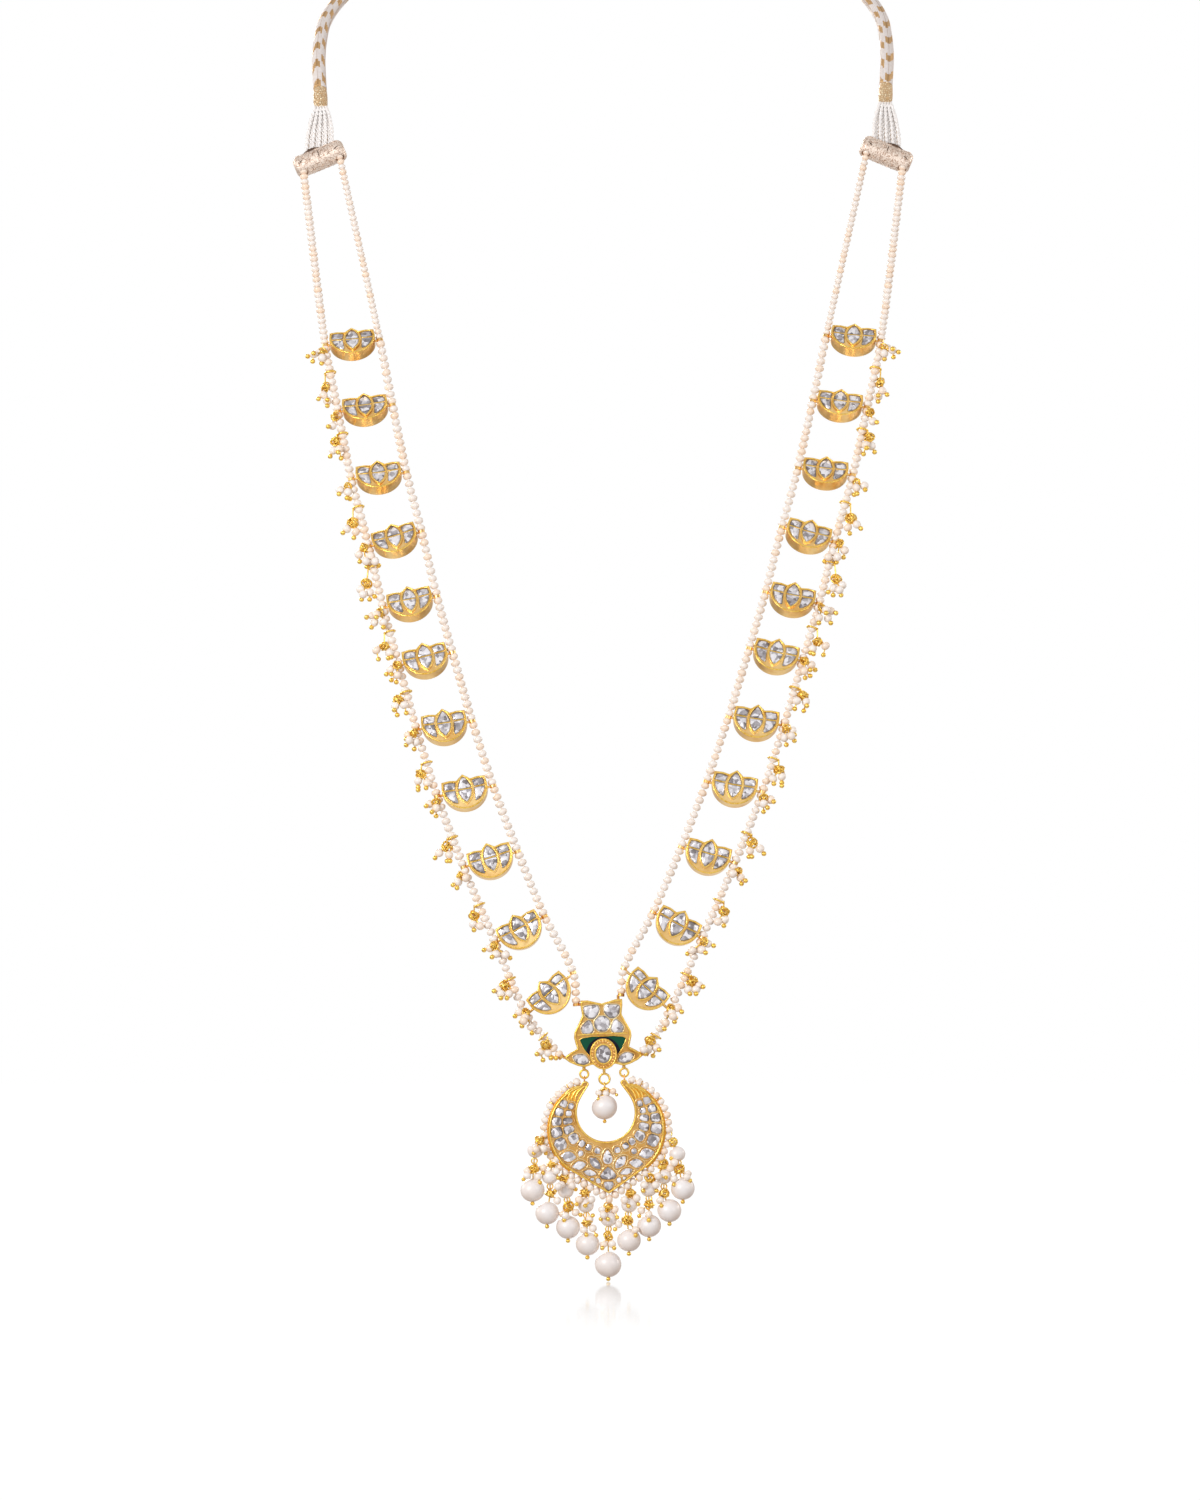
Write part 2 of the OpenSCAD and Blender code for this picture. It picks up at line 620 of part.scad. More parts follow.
// Rim string: stops by their distance from the lowest point of the rim, along its right half
rim_out = string_d / 2 + gap;
rim_foot = point_z - rim_out / 0.835;
rim_line = norm([arc_at.x, rim_foot - arc_at.y] + (crescent_r + rim_out) * [cos(arc_end), sin(arc_end)] - [0, 0]);
foot_length = norm(arc_at + (crescent_r + rim_out) * [cos(arc_end), sin(arc_end)] - [0, rim_foot]);
function rim_right(s) =
    s < foot_length
        ? let (to = arc_at + (crescent_r + rim_out) * [cos(arc_end), sin(arc_end)], u = s / foot_length)
            [u * to.x, 0, rim_foot + u * (to.y - rim_foot)]
        : let (a = arc_end + (s - foot_length) / (crescent_r + rim_out) * 180 / PI)
            [arc_at.x + (crescent_r + rim_out) * cos(a), 0, arc_at.y + (crescent_r + rim_out) * sin(a)];
function rim_at(s) = let (p = rim_right(abs(s))) [sign(s) * abs(p.x), 0, p.z];
function rim_way(s) = unit(rim_at(s + 0.2) - rim_at(s - 0.2));
drop_pitch = 7.65;
rim_reach = 53.4;
post_stops = [11.5, 26.8, 34.4, 42.1, 50.3];
rim_stops = concat([for (k = [0:4]) k * drop_pitch], post_stops);

module crescent() {
    color(gold) pendant() {
        difference() {
            union() {
                plate(pendant_t / 2, field_y) crescent_area(0);
                plate(0, face_y)
                    difference() {
                        crescent_area(0);
                        crescent_area(0.7);
                    }
                plate(0, face_y)
                    for (o = crescent_gems)
                        intersection() {
                            polygon(grown(o, 0.5));
                            crescent_area(0);
                        }
            }
            for (o = crescent_gems) seat(o, field_y);
        }
        for (s = [-1, 1]) {
            translate([s * ring_spread, 0, -eye_drop]) rotate([0, 90, 0]) wire_ring(eye_d, eye_wire);
            for (q = post_stops) rim_post(s * q);
        }
    }
}
eye_d = 2.3;
eye_wire = 0.45;
eye_drop = eye_d / 2 - eye_wire - ring_wire / 2 - gap;
// A post from the rim with a loop round the thread of the rim string
module rim_post(s) {
    at = rim_at(s);
    way = rim_way(s);
    inner = cross([0, -1, 0], way);
    aim(at, way)
        difference() {
            cylinder(d = loop_d, h = loop_len, center = true);
            cylinder(d = thread_d + 4 * gap, h = 2 * loop_len, center = true);
        }
    rod(at + 0.85 * inner, at + 2.2 * inner, 0.8);
}
module crescent_stones() {
    color(crystal) pendant()
        for (o = crescent_gems) gem(o, field_y + seat_deep - gap, field_y - 0.5, 0);
}
module rim_pearls() {
    marks = [for (q = rim_stops) for (m = [[-1, string_d], [-0.6, thread_d], [0.6, thread_d], [1, string_d]])
        [q + m[0], m[1]]];
    upper = [for (m = marks) if (m[0] > 0) m];
    between = [for (q = [4.0, 13.4, 19.1, 24.6, 38.2, 46.2, rim_reach]) [q, string_d]];
    right_marks = sorted([for (m = concat(upper, between)) m]);
    left_marks = [for (k = [len(right_marks) - 1:-1:0]) [-right_marks[k][0], right_marks[k][1]]];
    all_marks = concat(left_marks, [[0, thread_d]], right_marks);
    color(pearl) pendant()
        loft([for (m = all_marks) ring_of(rim_at(m[0]), rim_way(m[0]), m[1], 8)]);
}
function sorted(v) = len(v) < 2 ? v : let (
        pivot = v[0][0],
        low = [for (m = v) if (m[0] < pivot) m],
        same = [for (m = v) if (m[0] == pivot) m],
        high = [for (m = v) if (m[0] > pivot) m]
    ) concat(sorted(low), same, sorted(high));

// Drops, from the left: upper pearl and large pearl, from the middle of the swing axis, plumb
drop_rows = [
    [[-22.8, -1.5, -24.1], [-23.7, -0.8, -37.2]],
    [[-18.0, 0, -32.8], [-18.9, 0, -44.8]],
    [[-12.8, 0, -37.5], [-12.0, 0, -49.5]],
    [[-6.1, 0, -42.2], [-5.6, 0, -55.0]],
    [[1.4, 0, -46.8], [1.3, 0, -61.7]],
    [[8.2, 0, -42.2], [8.1, 0, -53.8]],
    [[14.6, 0, -37.0], [14.8, 0, -49.0]],
    [[19.6, 0, -32.8], [21.5, 0, -44.0]],
    [[24.1, 0, -25.3], [25.9, 0, -36.7]]
];
ring_on_rim = 2.8;
rim_ring_wire = 0.4;
rim_ring_r = (ring_on_rim - rim_ring_wire) / 2;
ring_shift = rim_ring_r - thread_d / 2 - rim_ring_wire / 2 - gap;
ring_carry = ring_shift + rim_ring_r;
function drop_s(k) = (k - 5) * drop_pitch;
function large_d(k) = k == 5 ? lowest_pearl_d : large_pearl_d;
function rim_outward(s) = let (w = rim_way(s)) [w.z, 0, -w.x];
function drop_start(k) = turned(rim_at(drop_s(k)) + ring_carry * rim_outward(drop_s(k)));
function upper_at(k) = drop_rows[k - 1][0];
function large_at(k) = drop_rows[k - 1][1];
function upper_way(k) = unit(upper_at(k) - drop_start(k));
function knee(k) = upper_at(k) + (upper_pearl_d / 2 + 0.9) * upper_way(k);
function lower_way(k) = unit(large_at(k) - knee(k));
module drilled(at, way, d) {
    color(pearl) translate(pendant_at) aim(at, way)
        difference() {
            sphere(d = d, $fn = 30);
            cylinder(d = drop_wire + 3 * gap, h = 2 * d, center = true);
        }
}
module upper_pearls() {
    for (k = [1:drop_count]) drilled(upper_at(k), upper_way(k), upper_pearl_d);
}
module drop_pearl(k) {
    drilled(large_at(k), lower_way(k), large_d(k));
}
module drop_wires() {
    color(gold) translate(pendant_at)
        for (k = [1:drop_count]) {
            start = drop_start(k);
            room = norm(upper_at(k) - start) - upper_pearl_d / 2;
            tail = large_at(k) + (large_d(k) / 2 + 0.5) * lower_way(k);
            space = norm(large_at(k) - knee(k)) - large_d(k) / 2;
            aim(turned(rim_at(drop_s(k)) + ring_shift * rim_outward(drop_s(k))), turned(rim_way(drop_s(k))))
                wire_ring(ring_on_rim, rim_ring_wire);
            rod(start, knee(k), drop_wire);
            translate(start + 0.52 * room * upper_way(k)) sphere(d = min(2.0, 0.84 * room));
            rod(knee(k), tail, drop_wire);
            rod(knee(k) + 0.1 * space * lower_way(k), knee(k) + 0.85 * space * lower_way(k), 2.4);
            translate(knee(k)) sphere(d = 1.5);
            translate(tail) sphere(d = 1.3);
        }
}

// Centre drop: hangs plumb from the middle ring
drop_axis = pendant_point([0, 0, middle_ring_z - middle_ring_r]);
centre_eye_drop = eye_d / 2 - eye_wire - ring_wire / 2 - gap;
centre_pearl_z = -7.6;
module centre_drop_wire() {
    color(gold) translate(drop_axis) {
        translate([0, 0, -centre_eye_drop]) rotate([0, 90, 0]) wire_ring(eye_d, eye_wire);
        rod([0, 0, -centre_eye_drop - (eye_d - eye_wire) / 2], [0, 0, centre_pearl_z - centre_pearl_d / 2 - 0.5], drop_wire);
        translate([0, 0, -2.3]) sphere(d = 2.0);
        translate([0, 0, centre_pearl_z - centre_pearl_d / 2 - 0.5]) sphere(d = 1.3);
    }
}
module centre_pearl() {
    color(pearl) translate(drop_axis)
        difference() {
            translate([0, 0, centre_pearl_z]) sphere(d = centre_pearl_d);
            translate([0, 0, centre_pearl_z]) cylinder(d = drop_wire + 3 * gap, h = 2 * centre_pearl_d, center = true);
        }
}

neck_cord();
for (side = [left, right]) {
    cord_collar(side);
    thread_fan(side);
    spacer_bar(side);
    pearl_string(side, "outer");
    pearl_string(side, "inner");
    set_stones(side);
    bunches(side);
    for (k = [1:plaque_count])
        plaque(k, side);
}
pendant_top();
pendant_top_stones();
pendant_top_enamel();
crescent();
crescent_stones();
rim_pearls();
upper_pearls();
for (k = [1:drop_count])
    drop_pearl(k);
drop_wires();
centre_drop_wire();
centre_pearl();
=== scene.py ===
import math, random
import bpy, bmesh
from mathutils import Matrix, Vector, kdtree


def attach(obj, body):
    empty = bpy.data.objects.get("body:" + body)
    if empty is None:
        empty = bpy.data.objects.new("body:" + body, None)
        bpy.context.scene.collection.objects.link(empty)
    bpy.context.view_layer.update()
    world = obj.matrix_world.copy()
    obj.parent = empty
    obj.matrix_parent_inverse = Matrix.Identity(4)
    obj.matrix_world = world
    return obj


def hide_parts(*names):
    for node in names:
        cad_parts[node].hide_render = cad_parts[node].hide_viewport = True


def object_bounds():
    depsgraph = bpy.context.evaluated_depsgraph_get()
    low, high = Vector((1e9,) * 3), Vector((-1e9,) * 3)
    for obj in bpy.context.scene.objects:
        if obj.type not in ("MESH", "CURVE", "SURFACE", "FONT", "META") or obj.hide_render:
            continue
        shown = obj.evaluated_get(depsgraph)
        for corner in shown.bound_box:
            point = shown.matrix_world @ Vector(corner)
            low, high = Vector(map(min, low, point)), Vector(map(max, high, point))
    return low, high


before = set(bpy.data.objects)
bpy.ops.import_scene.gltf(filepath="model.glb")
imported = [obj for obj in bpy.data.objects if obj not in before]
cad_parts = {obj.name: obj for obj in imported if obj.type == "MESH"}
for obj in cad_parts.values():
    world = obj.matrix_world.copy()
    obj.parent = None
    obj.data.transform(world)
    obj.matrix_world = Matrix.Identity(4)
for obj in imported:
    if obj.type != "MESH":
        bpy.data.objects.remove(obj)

mm = 0.001
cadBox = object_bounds()
print("the frame is in")


# All tables are in millimetres; spots are pixels of the photograph, 0.33 mm each.
photo = {"middle": 603.0, "top": -60.0, "pixel": 0.33, "face": -195.0}
hang = {"rise": 1.4, "swayStart": -173.0, "swayRate": 0.0144}   # how the right strand differs


def spot(px, py, y=None):
    return Vector(((px - photo["middle"]) * photo["pixel"], photo["face"] if y is None else y,
                   photo["top"] - py * photo["pixel"]))


def placed(p, side):   # a point of the left strand, or its partner on the right one
    if side == "left":
        return Vector(p)
    sway = hang["swayRate"] * min(0.0, p[2] - hang["swayStart"])
    return Vector((sway - p[0], p[1], p[2] + hang["rise"]))


def posed(p, lean, roll):
    a, b = math.radians(lean), math.radians(roll)
    y = p[1] * math.cos(a) + p[2] * math.sin(a)
    z = p[2] * math.cos(a) - p[1] * math.sin(a)
    return Vector((p[0] * math.cos(b) - z * math.sin(b), y, p[0] * math.sin(b) + z * math.cos(b)))


def heading(stops, i):
    return (stops[min(i + 1, len(stops) - 1)] - stops[max(i - 1, 0)]).normalized()


def along(stops, i, s):   # the same smooth course that the solids follow
    a, b = stops[i], stops[i + 1]
    c = (b - a).length
    return ((2 * s ** 3 - 3 * s ** 2 + 1) * a + (s ** 3 - 2 * s ** 2 + s) * c * heading(stops, i)
            + (3 * s ** 2 - 2 * s ** 3) * b + (s ** 3 - s ** 2) * c * heading(stops, i + 1))


def course(stops, steps, start=0, end=None):
    last = len(stops) - 2 if end is None else end
    line = [along(stops, i, j / steps) for i in range(start, last + 1) for j in range(steps)]
    return line + [along(stops, last, 1.0)]


camera = {"distance": 8000.0, "frameHeight": 495.0, "centre": (-0.99, -195.0, -307.5), "sensor": 36.0}

shot = bpy.data.cameras.new("camera")
shot.sensor_width = camera["sensor"]
shot.lens = camera["sensor"] * camera["distance"] / camera["frameHeight"]
shot.clip_start, shot.clip_end = 0.1, 60.0
shotHolder = bpy.data.objects.new("camera", shot)
shotHolder.location = (Vector(camera["centre"]) - Vector((0, camera["distance"], 0))) * mm
shotHolder.rotation_euler = (math.radians(90), 0, 0)
bpy.context.collection.objects.link(shotHolder)
bpy.context.scene.camera = shotHolder


class Feed:   # a node's socket that can stand in a sum
    def __init__(self, tree, socket):
        self.tree, self.socket = tree, socket

    def sum(self, operation, *values):
        return addNode(self.tree, "ShaderNodeMath", dict(enumerate(values)), operation=operation)

    def __add__(self, other): return self.sum("ADD", self, other)
    def __radd__(self, other): return self.sum("ADD", other, self)
    def __sub__(self, other): return self.sum("SUBTRACT", self, other)
    def __rsub__(self, other): return self.sum("SUBTRACT", other, self)
    def __mul__(self, other): return self.sum("MULTIPLY", self, other)
    def __rmul__(self, other): return self.sum("MULTIPLY", other, self)
    def __truediv__(self, other): return self.sum("DIVIDE", self, other)
    def __mod__(self, other): return self.sum("FLOORED_MODULO", self, other)
    def __gt__(self, other): return self.sum("GREATER_THAN", self, other)
    def __lt__(self, other): return self.sum("LESS_THAN", self, other)
    def __abs__(self): return self.sum("ABSOLUTE", self)
    def sine(self): return self.sum("SINE", self)
    def floor(self): return self.sum("FLOOR", self)


def addNode(tree, kind, sockets=None, out=0, **settings):
    node = tree.nodes.new(kind)
    for key, value in settings.items():
        if key == "stops":
            ramp = node.color_ramp.elements
            while len(ramp) < len(value):
                ramp.new(0.5)
            for element, (place, shade) in zip(ramp, value):
                element.position, element.color = place, (*shade, 1)
        else:
            setattr(node, key, value)
    for key, value in (sockets or {}).items():
        if isinstance(value, Feed):
            tree.links.new(value.socket, node.inputs[key])
        else:
            node.inputs[key].default_value = value
    return Feed(tree, node.outputs[out]) if node.outputs else node


def mixed(tree, share, a, b):
    ends = {6: a if isinstance(a, Feed) else (*a, 1), 7: b if isinstance(b, Feed) else (*b, 1)}
    return addNode(tree, "ShaderNodeMix", {0: share, **ends}, out=2, data_type="RGBA")


def objectPlace(tree):
    return addNode(tree, "ShaderNodeTexCoord", out=3)


def noise(tree, scale, detail=2.0, place=None, out=0):
    return addNode(tree, "ShaderNodeTexNoise",
                   {"Vector": place or objectPlace(tree), "Scale": scale, "Detail": detail}, out)


def cells(tree, scale, feature="F1", out=0, place=None):
    return addNode(tree, "ShaderNodeTexVoronoi", {"Vector": place or objectPlace(tree), "Scale": scale}, out,
                   feature=feature)


def ramp(tree, value, stops):
    return addNode(tree, "ShaderNodeValToRGB", {0: value}, stops=stops)


def bumped(tree, height, strength, distance):
    return addNode(tree, "ShaderNodeBump", {"Height": height, "Strength": strength, "Distance": distance * mm})


def warped(tree, scale, reach):   # places that a noise shifts a little
    shift = noise(tree, scale, out=1)
    return addNode(tree, "ShaderNodeVectorMath", {0: shift, 1: (reach, reach, reach), 2: objectPlace(tree)},
                   operation="MULTIPLY_ADD")


def distanceFrom(tree, centre):
    return addNode(tree, "ShaderNodeVectorMath", {0: objectPlace(tree), 1: centre}, 1, operation="DISTANCE")


def axesOf(tree, place):
    node = addNode(tree, "ShaderNodeSeparateXYZ", {0: place}).socket.node
    return [Feed(tree, socket) for socket in node.outputs]


def attribute(tree, name):
    return addNode(tree, "ShaderNodeAttribute", out=2, attribute_name=name)


def emptyMaterial(name):
    material = bpy.data.materials.new(name)
    material.use_nodes = True
    material.node_tree.nodes.clear()
    return material


def surface(name, build):   # one Principled surface: build returns its sockets
    material = emptyMaterial(name)
    tree = material.node_tree
    skin = addNode(tree, "ShaderNodeBsdfPrincipled", build(tree))
    addNode(tree, "ShaderNodeOutputMaterial", {0: skin})
    return material


goldLook = {"deep": (0.78, 0.40, 0.08), "light": (1.0, 0.71, 0.31), "fieldShadeDeep": (0.55, 0.24, 0.04),
            "fieldShadeLight": (0.84, 0.50, 0.16), "ridgeLitDeep": (0.95, 0.62, 0.22), "ridgeLitLight": (1.0, 0.84, 0.50),
            "rough": 0.24, "dents": 520.0}
wireLook = {"deep": (0.90, 0.50, 0.05), "light": (1.0, 0.74, 0.20), "rough": 0.24}
shadedLook = {"deep": (0.80, 0.36, 0.03), "light": (0.95, 0.55, 0.08)}
mouthShadeLook = {"deep": (0.035, 0.018, 0.01), "light": (0.16, 0.085, 0.045)}
barLook = {"deep": (0.52, 0.36, 0.27), "light": (0.97, 0.86, 0.77), "rough": 0.5, "leaves": 760.0}
foilLook = {"dark": (0.20, 0.18, 0.19), "middle": (0.48, 0.46, 0.49), "light": (0.92, 0.92, 0.97),
            "edge": (0.13, 0.10, 0.09), "flake": 760.0}
enamelLook = {"colour": (0.0005, 0.098, 0.045), "shade": (0.001, 0.05, 0.03), "edge": (0.003, 0.006, 0.022),
              "oval": (0.00014, -0.1955, -0.40781), "edgeReach": 0.0057}
pearlLook = {"white": (0.90, 0.92, 0.95), "blush": (0.89, 0.83, 0.79), "rim": (1.0, 0.955, 0.925, 1.0), "rough": 0.36}
seedLook = {"white": (0.95, 0.96, 0.98), "blush": (0.98, 0.83, 0.68), "rim": (1.0, 0.95, 0.895, 1.0), "rough": 0.24}
silkLook = {"thread": (0.96, 0.93, 0.91), "shade": (0.54, 0.46, 0.41), "gold": (0.80, 0.52, 0.24),
            "brown": (0.34, 0.19, 0.09), "around": 14.14, "repeat": 8.0, "stitch": 0.52, "turn": 0.6}
collarLook = {"deep": (0.64, 0.36, 0.13), "light": (1.0, 0.87, 0.62), "lumps": 1100.0}
yarnLook = {"white": (0.97, 0.96, 0.95), "tan": (0.72, 0.58, 0.44)}


def goldSurface(tree, deep="deep", light="light"):
    dents = cells(tree, goldLook["dents"], "SMOOTH_F1")
    grain = noise(tree, 900.0, 3.0)
    shade = ramp(tree, noise(tree, 140.0) + grain * 0.25, [(0.35, goldLook[deep]), (0.72, goldLook[light])])
    return {"Base Color": shade, "Metallic": 1.0, "Roughness": goldLook["rough"] + grain * 0.16,
            "Normal": bumped(tree, dents * 0.7 + grain * 0.3, 0.32, 0.22)}


def wireSurface(tree):
    grain = noise(tree, 1500.0)
    shade = ramp(tree, grain, [(0.3, wireLook["deep"]), (0.62, wireLook["light"])])
    return {"Base Color": shade, "Metallic": 0.8, "Roughness": wireLook["rough"] + grain * 0.12,
            "Normal": bumped(tree, grain, 0.25, 0.06)}


def shadedSurface(tree):   # the deep orange of gold that faces away
    grain = noise(tree, 900.0, 3.0)
    return {"Base Color": mixed(tree, grain, shadedLook["deep"], shadedLook["light"]), "Metallic": 0.8,
            "Roughness": 0.4 + grain * 0.2, "Normal": bumped(tree, grain, 0.5, 0.15)}


def mouthShadeSurface(tree):   # painted shade: the dark inside of the bar's slot and holes
    grain = noise(tree, 900.0, 3.0)
    return {"Base Color": mixed(tree, grain, mouthShadeLook["deep"], mouthShadeLook["light"]), "Roughness": 0.7,
            "Normal": bumped(tree, grain, 0.5, 0.15)}


def barSurface(tree):   # chased flowers and leaves over a grained ground
    place = warped(tree, 420.0, 0.0022)
    veins = (cells(tree, barLook["leaves"] * 0.6, "F1", 0, place) * 26.0).sine()   # hatched leaves
    edges = cells(tree, barLook["leaves"], "DISTANCE_TO_EDGE", 0, place) * 9.0
    grain = noise(tree, 2400.0, 3.0)
    height = edges.sum("MINIMUM", edges, 1.0) * 0.45 + veins * 0.2 + grain * 0.3
    # painted shade: darker in the chased hollows, lighter on the raised parts
    shade = ramp(tree, height, [(0.12, barLook["deep"]), (0.55, barLook["light"])])
    return {"Base Color": shade, "Metallic": 1.0, "Roughness": barLook["rough"] + grain * 0.15,
            "Normal": bumped(tree, height, 0.3, 0.12)}


def foilSurface(tree):   # uncut crystal over crumpled silver foil; its grey-to-white flakes are painted reflection of the crumpled foil
    place = warped(tree, 260.0, 0.0016)
    flakes = cells(tree, foilLook["flake"], "F1", 1, place)
    ridges = cells(tree, foilLook["flake"], "DISTANCE_TO_EDGE", 0, place)
    tone = addNode(tree, "ShaderNodeSeparateColor", {0: flakes})
    streak = noise(tree, 700.0, 3.0, place)
    shade = ramp(tree, tone * 0.75 + streak * 0.45,
                 [(0.24, foilLook["dark"]), (0.5, foilLook["middle"]), (0.82, foilLook["light"])])
    # painted shade: the foil darkens to brown at each stone's girdle
    shade = mixed(tree, attribute(tree, "edge") * 0.95, shade, foilLook["edge"])
    return {"Base Color": shade, "Metallic": 0.45, "Roughness": 0.2 + streak * 0.25,
            "Normal": bumped(tree, tone * 0.6 + ridges * 3.0, 0.35, 0.12), "Coat Weight": 0.8, "Coat Roughness": 0.03}


def enamelSurface(tree):
    cloud = noise(tree, 300.0)
    shade = mixed(tree, cloud * 0.8, enamelLook["colour"], enamelLook["shade"])
    shade = mixed(tree, distanceFrom(tree, enamelLook["oval"]) < enamelLook["edgeReach"], shade, enamelLook["edge"])
    return {"Base Color": shade, "Roughness": 0.16 + cloud * 0.1, "Specular IOR Level": 0.15, "Coat Weight": 0.1,
            "Coat Roughness": 0.04, "Normal": bumped(tree, cloud, 0.15, 0.1)}


def pearlSurface(tree):
    cloud = noise(tree, 180.0)
    bands = noise(tree, 900.0)
    shade = mixed(tree, (cloud - 0.3) * 1.4, pearlLook["white"], pearlLook["blush"])
    return {"Base Color": shade, "Roughness": pearlLook["rough"] + bands * 0.08, "Specular IOR Level": 1.0,
            "Coat Weight": 0.9, "Coat Roughness": 0.2, "Coat IOR": 1.14, "Coat Tint": pearlLook["rim"],
            "Normal": bumped(tree, cloud * 0.6 + bands * 0.4, 0.12, 0.12)}


def seedSurface(tree):   # each seed pearl has its own tint
    cloud = noise(tree, 420.0)
    tint = attribute(tree, "tint")
    shade = mixed(tree, tint * tint * tint * 0.9 + (cloud - 0.45) * 0.6, seedLook["white"], seedLook["blush"])
    return {"Base Color": shade, "Roughness": seedLook["rough"] + cloud * 0.1, "Specular IOR Level": 0.8,
            "Coat Weight": 1.0, "Coat Roughness": 0.2, "Coat IOR": 1.08, "Coat Tint": seedLook["rim"],
            "Normal": bumped(tree, cloud, 0.2, 0.15)}


def silkSurface(tree):   # a flat tube knitted of white silk, with slanted gold figures in two columns
    place, run = axesOf(tree, addNode(tree, "ShaderNodeUVMap", uv_map="run"))[:2]
    half = silkLook["around"] / 4
    across = (place * silkLook["around"] + half + silkLook["turn"]) % (2 * half) - half
    stitch = silkLook["stitch"]
    a, b = (abs(across) / stitch).floor() * stitch, (run / stitch).floor() * stitch
    right = across > 0.0
    high = (b + a * 1.3) % silkLook["repeat"]
    low = (b + a * 1.3 + silkLook["repeat"] / 2) % silkLook["repeat"]
    figure = (high < 3.0) * (a < 2.2 - right * 1.4) + right * (low < 3.3) * (a > 1.2) * (a < 3.1)
    seam = (abs(across) < 0.17) * (0.35 + figure * 0.45) + (abs(across) > 3.25) * 0.45
    rib = ((run / stitch + abs(across % (2 * stitch) - stitch) / stitch * 0.8) * math.pi).sine()
    column = (across / stitch * math.pi).sine()
    grain = noise(tree, 1300.0)
    height = abs(rib) * 0.6 + abs(column) * 0.4
    # painted shade: the ground and the gold figures darken into the knit's hollows
    ground = mixed(tree, height * 0.8 + grain * 0.5 - 0.12, silkLook["shade"], silkLook["thread"])
    dyed = mixed(tree, figure, ground, mixed(tree, height * 0.6 + grain * 0.5, silkLook["brown"], silkLook["gold"]))
    shade = mixed(tree, seam, dyed, silkLook["brown"])
    return {"Base Color": shade, "Metallic": figure * 0.6, "Roughness": 0.62 - figure * 0.2,
            "Normal": bumped(tree, height, 0.6, 0.18)}


def collarSurface(tree):
    grain = noise(tree, 1500.0)
    lumps = cells(tree, collarLook["lumps"], "DISTANCE_TO_EDGE") * 3.2
    lumps = lumps.sum("MINIMUM", lumps, 1.0)
    # painted shade: darker in the gaps between the lumps
    shade = mixed(tree, lumps * 0.9 + grain * 0.2, collarLook["deep"], collarLook["light"])
    return {"Base Color": shade, "Metallic": 0.35, "Roughness": 0.34 + grain * 0.2,
            "Normal": bumped(tree, lumps + grain * 0.4, 0.9, 0.35)}


def yarnSurface(tree):
    grain = noise(tree, 1600.0, 3.0)
    shade = mixed(tree, attribute(tree, "tint") * (0.5 + grain), yarnLook["white"], yarnLook["tan"])
    return {"Base Color": shade, "Roughness": 0.7, "Sheen Weight": 0.3, "Normal": bumped(tree, grain, 0.4, 0.08)}


gold = surface("polished_gold", goldSurface)
shadedGold = surface("shaded_gold", shadedSurface)
# painted shade: a darker copy of the polished gold
shadedFieldGold = surface("field_gold_painted_shade", lambda tree: goldSurface(tree, "fieldShadeDeep", "fieldShadeLight"))
# painted highlight: a lighter copy of the polished gold for the raised bezels
litRidgeGold = surface("ridge_gold_painted_highlight", lambda tree: goldSurface(tree, "ridgeLitDeep", "ridgeLitLight"))
wireGold = surface("gold_wire", wireSurface)
chased = surface("chased_rose_gold", barSurface)
foiled = surface("foiled_crystal", foilSurface)
enamel = surface("green_enamel", enamelSurface)
pearl = surface("pearl_nacre", pearlSurface)
seed = surface("seed_pearl_nacre", seedSurface)
silk = surface("knitted_silk", silkSurface)
goldThread = surface("gold_thread", collarSurface)
yarn = surface("white_yarn", yarnSurface)
shadowed = surface("mouth_painted_shade", mouthShadeSurface)
print("the materials are made")


def meshOf(name, points, edges=(), faces=(), values=None):
    mesh = bpy.data.meshes.new(name)
    mesh.from_pydata([Vector(p) * mm for p in points], list(edges), list(faces))
    for key, numbers in (values or {}).items():
        kind = "FLOAT" if isinstance(numbers[0], float) else "FLOAT_VECTOR"
        layer = mesh.attributes.new(key, kind, "POINT")
        for item, number in zip(layer.data, numbers):
            if kind == "FLOAT":
                item.value = number
            else:
                item.vector = number
    mesh.update()
    return mesh


def lines(paths, closed=False):   # several polylines as the bare edges of one mesh
    points, edges = [], []
    for path in paths:
        n = len(points)
        points += path
        edges += [(n + k, n + k + 1) for k in range(len(path) - 1)]
        if closed:
            edges.append((n + len(path) - 1, n))
    return meshOf("lines", points, edges)


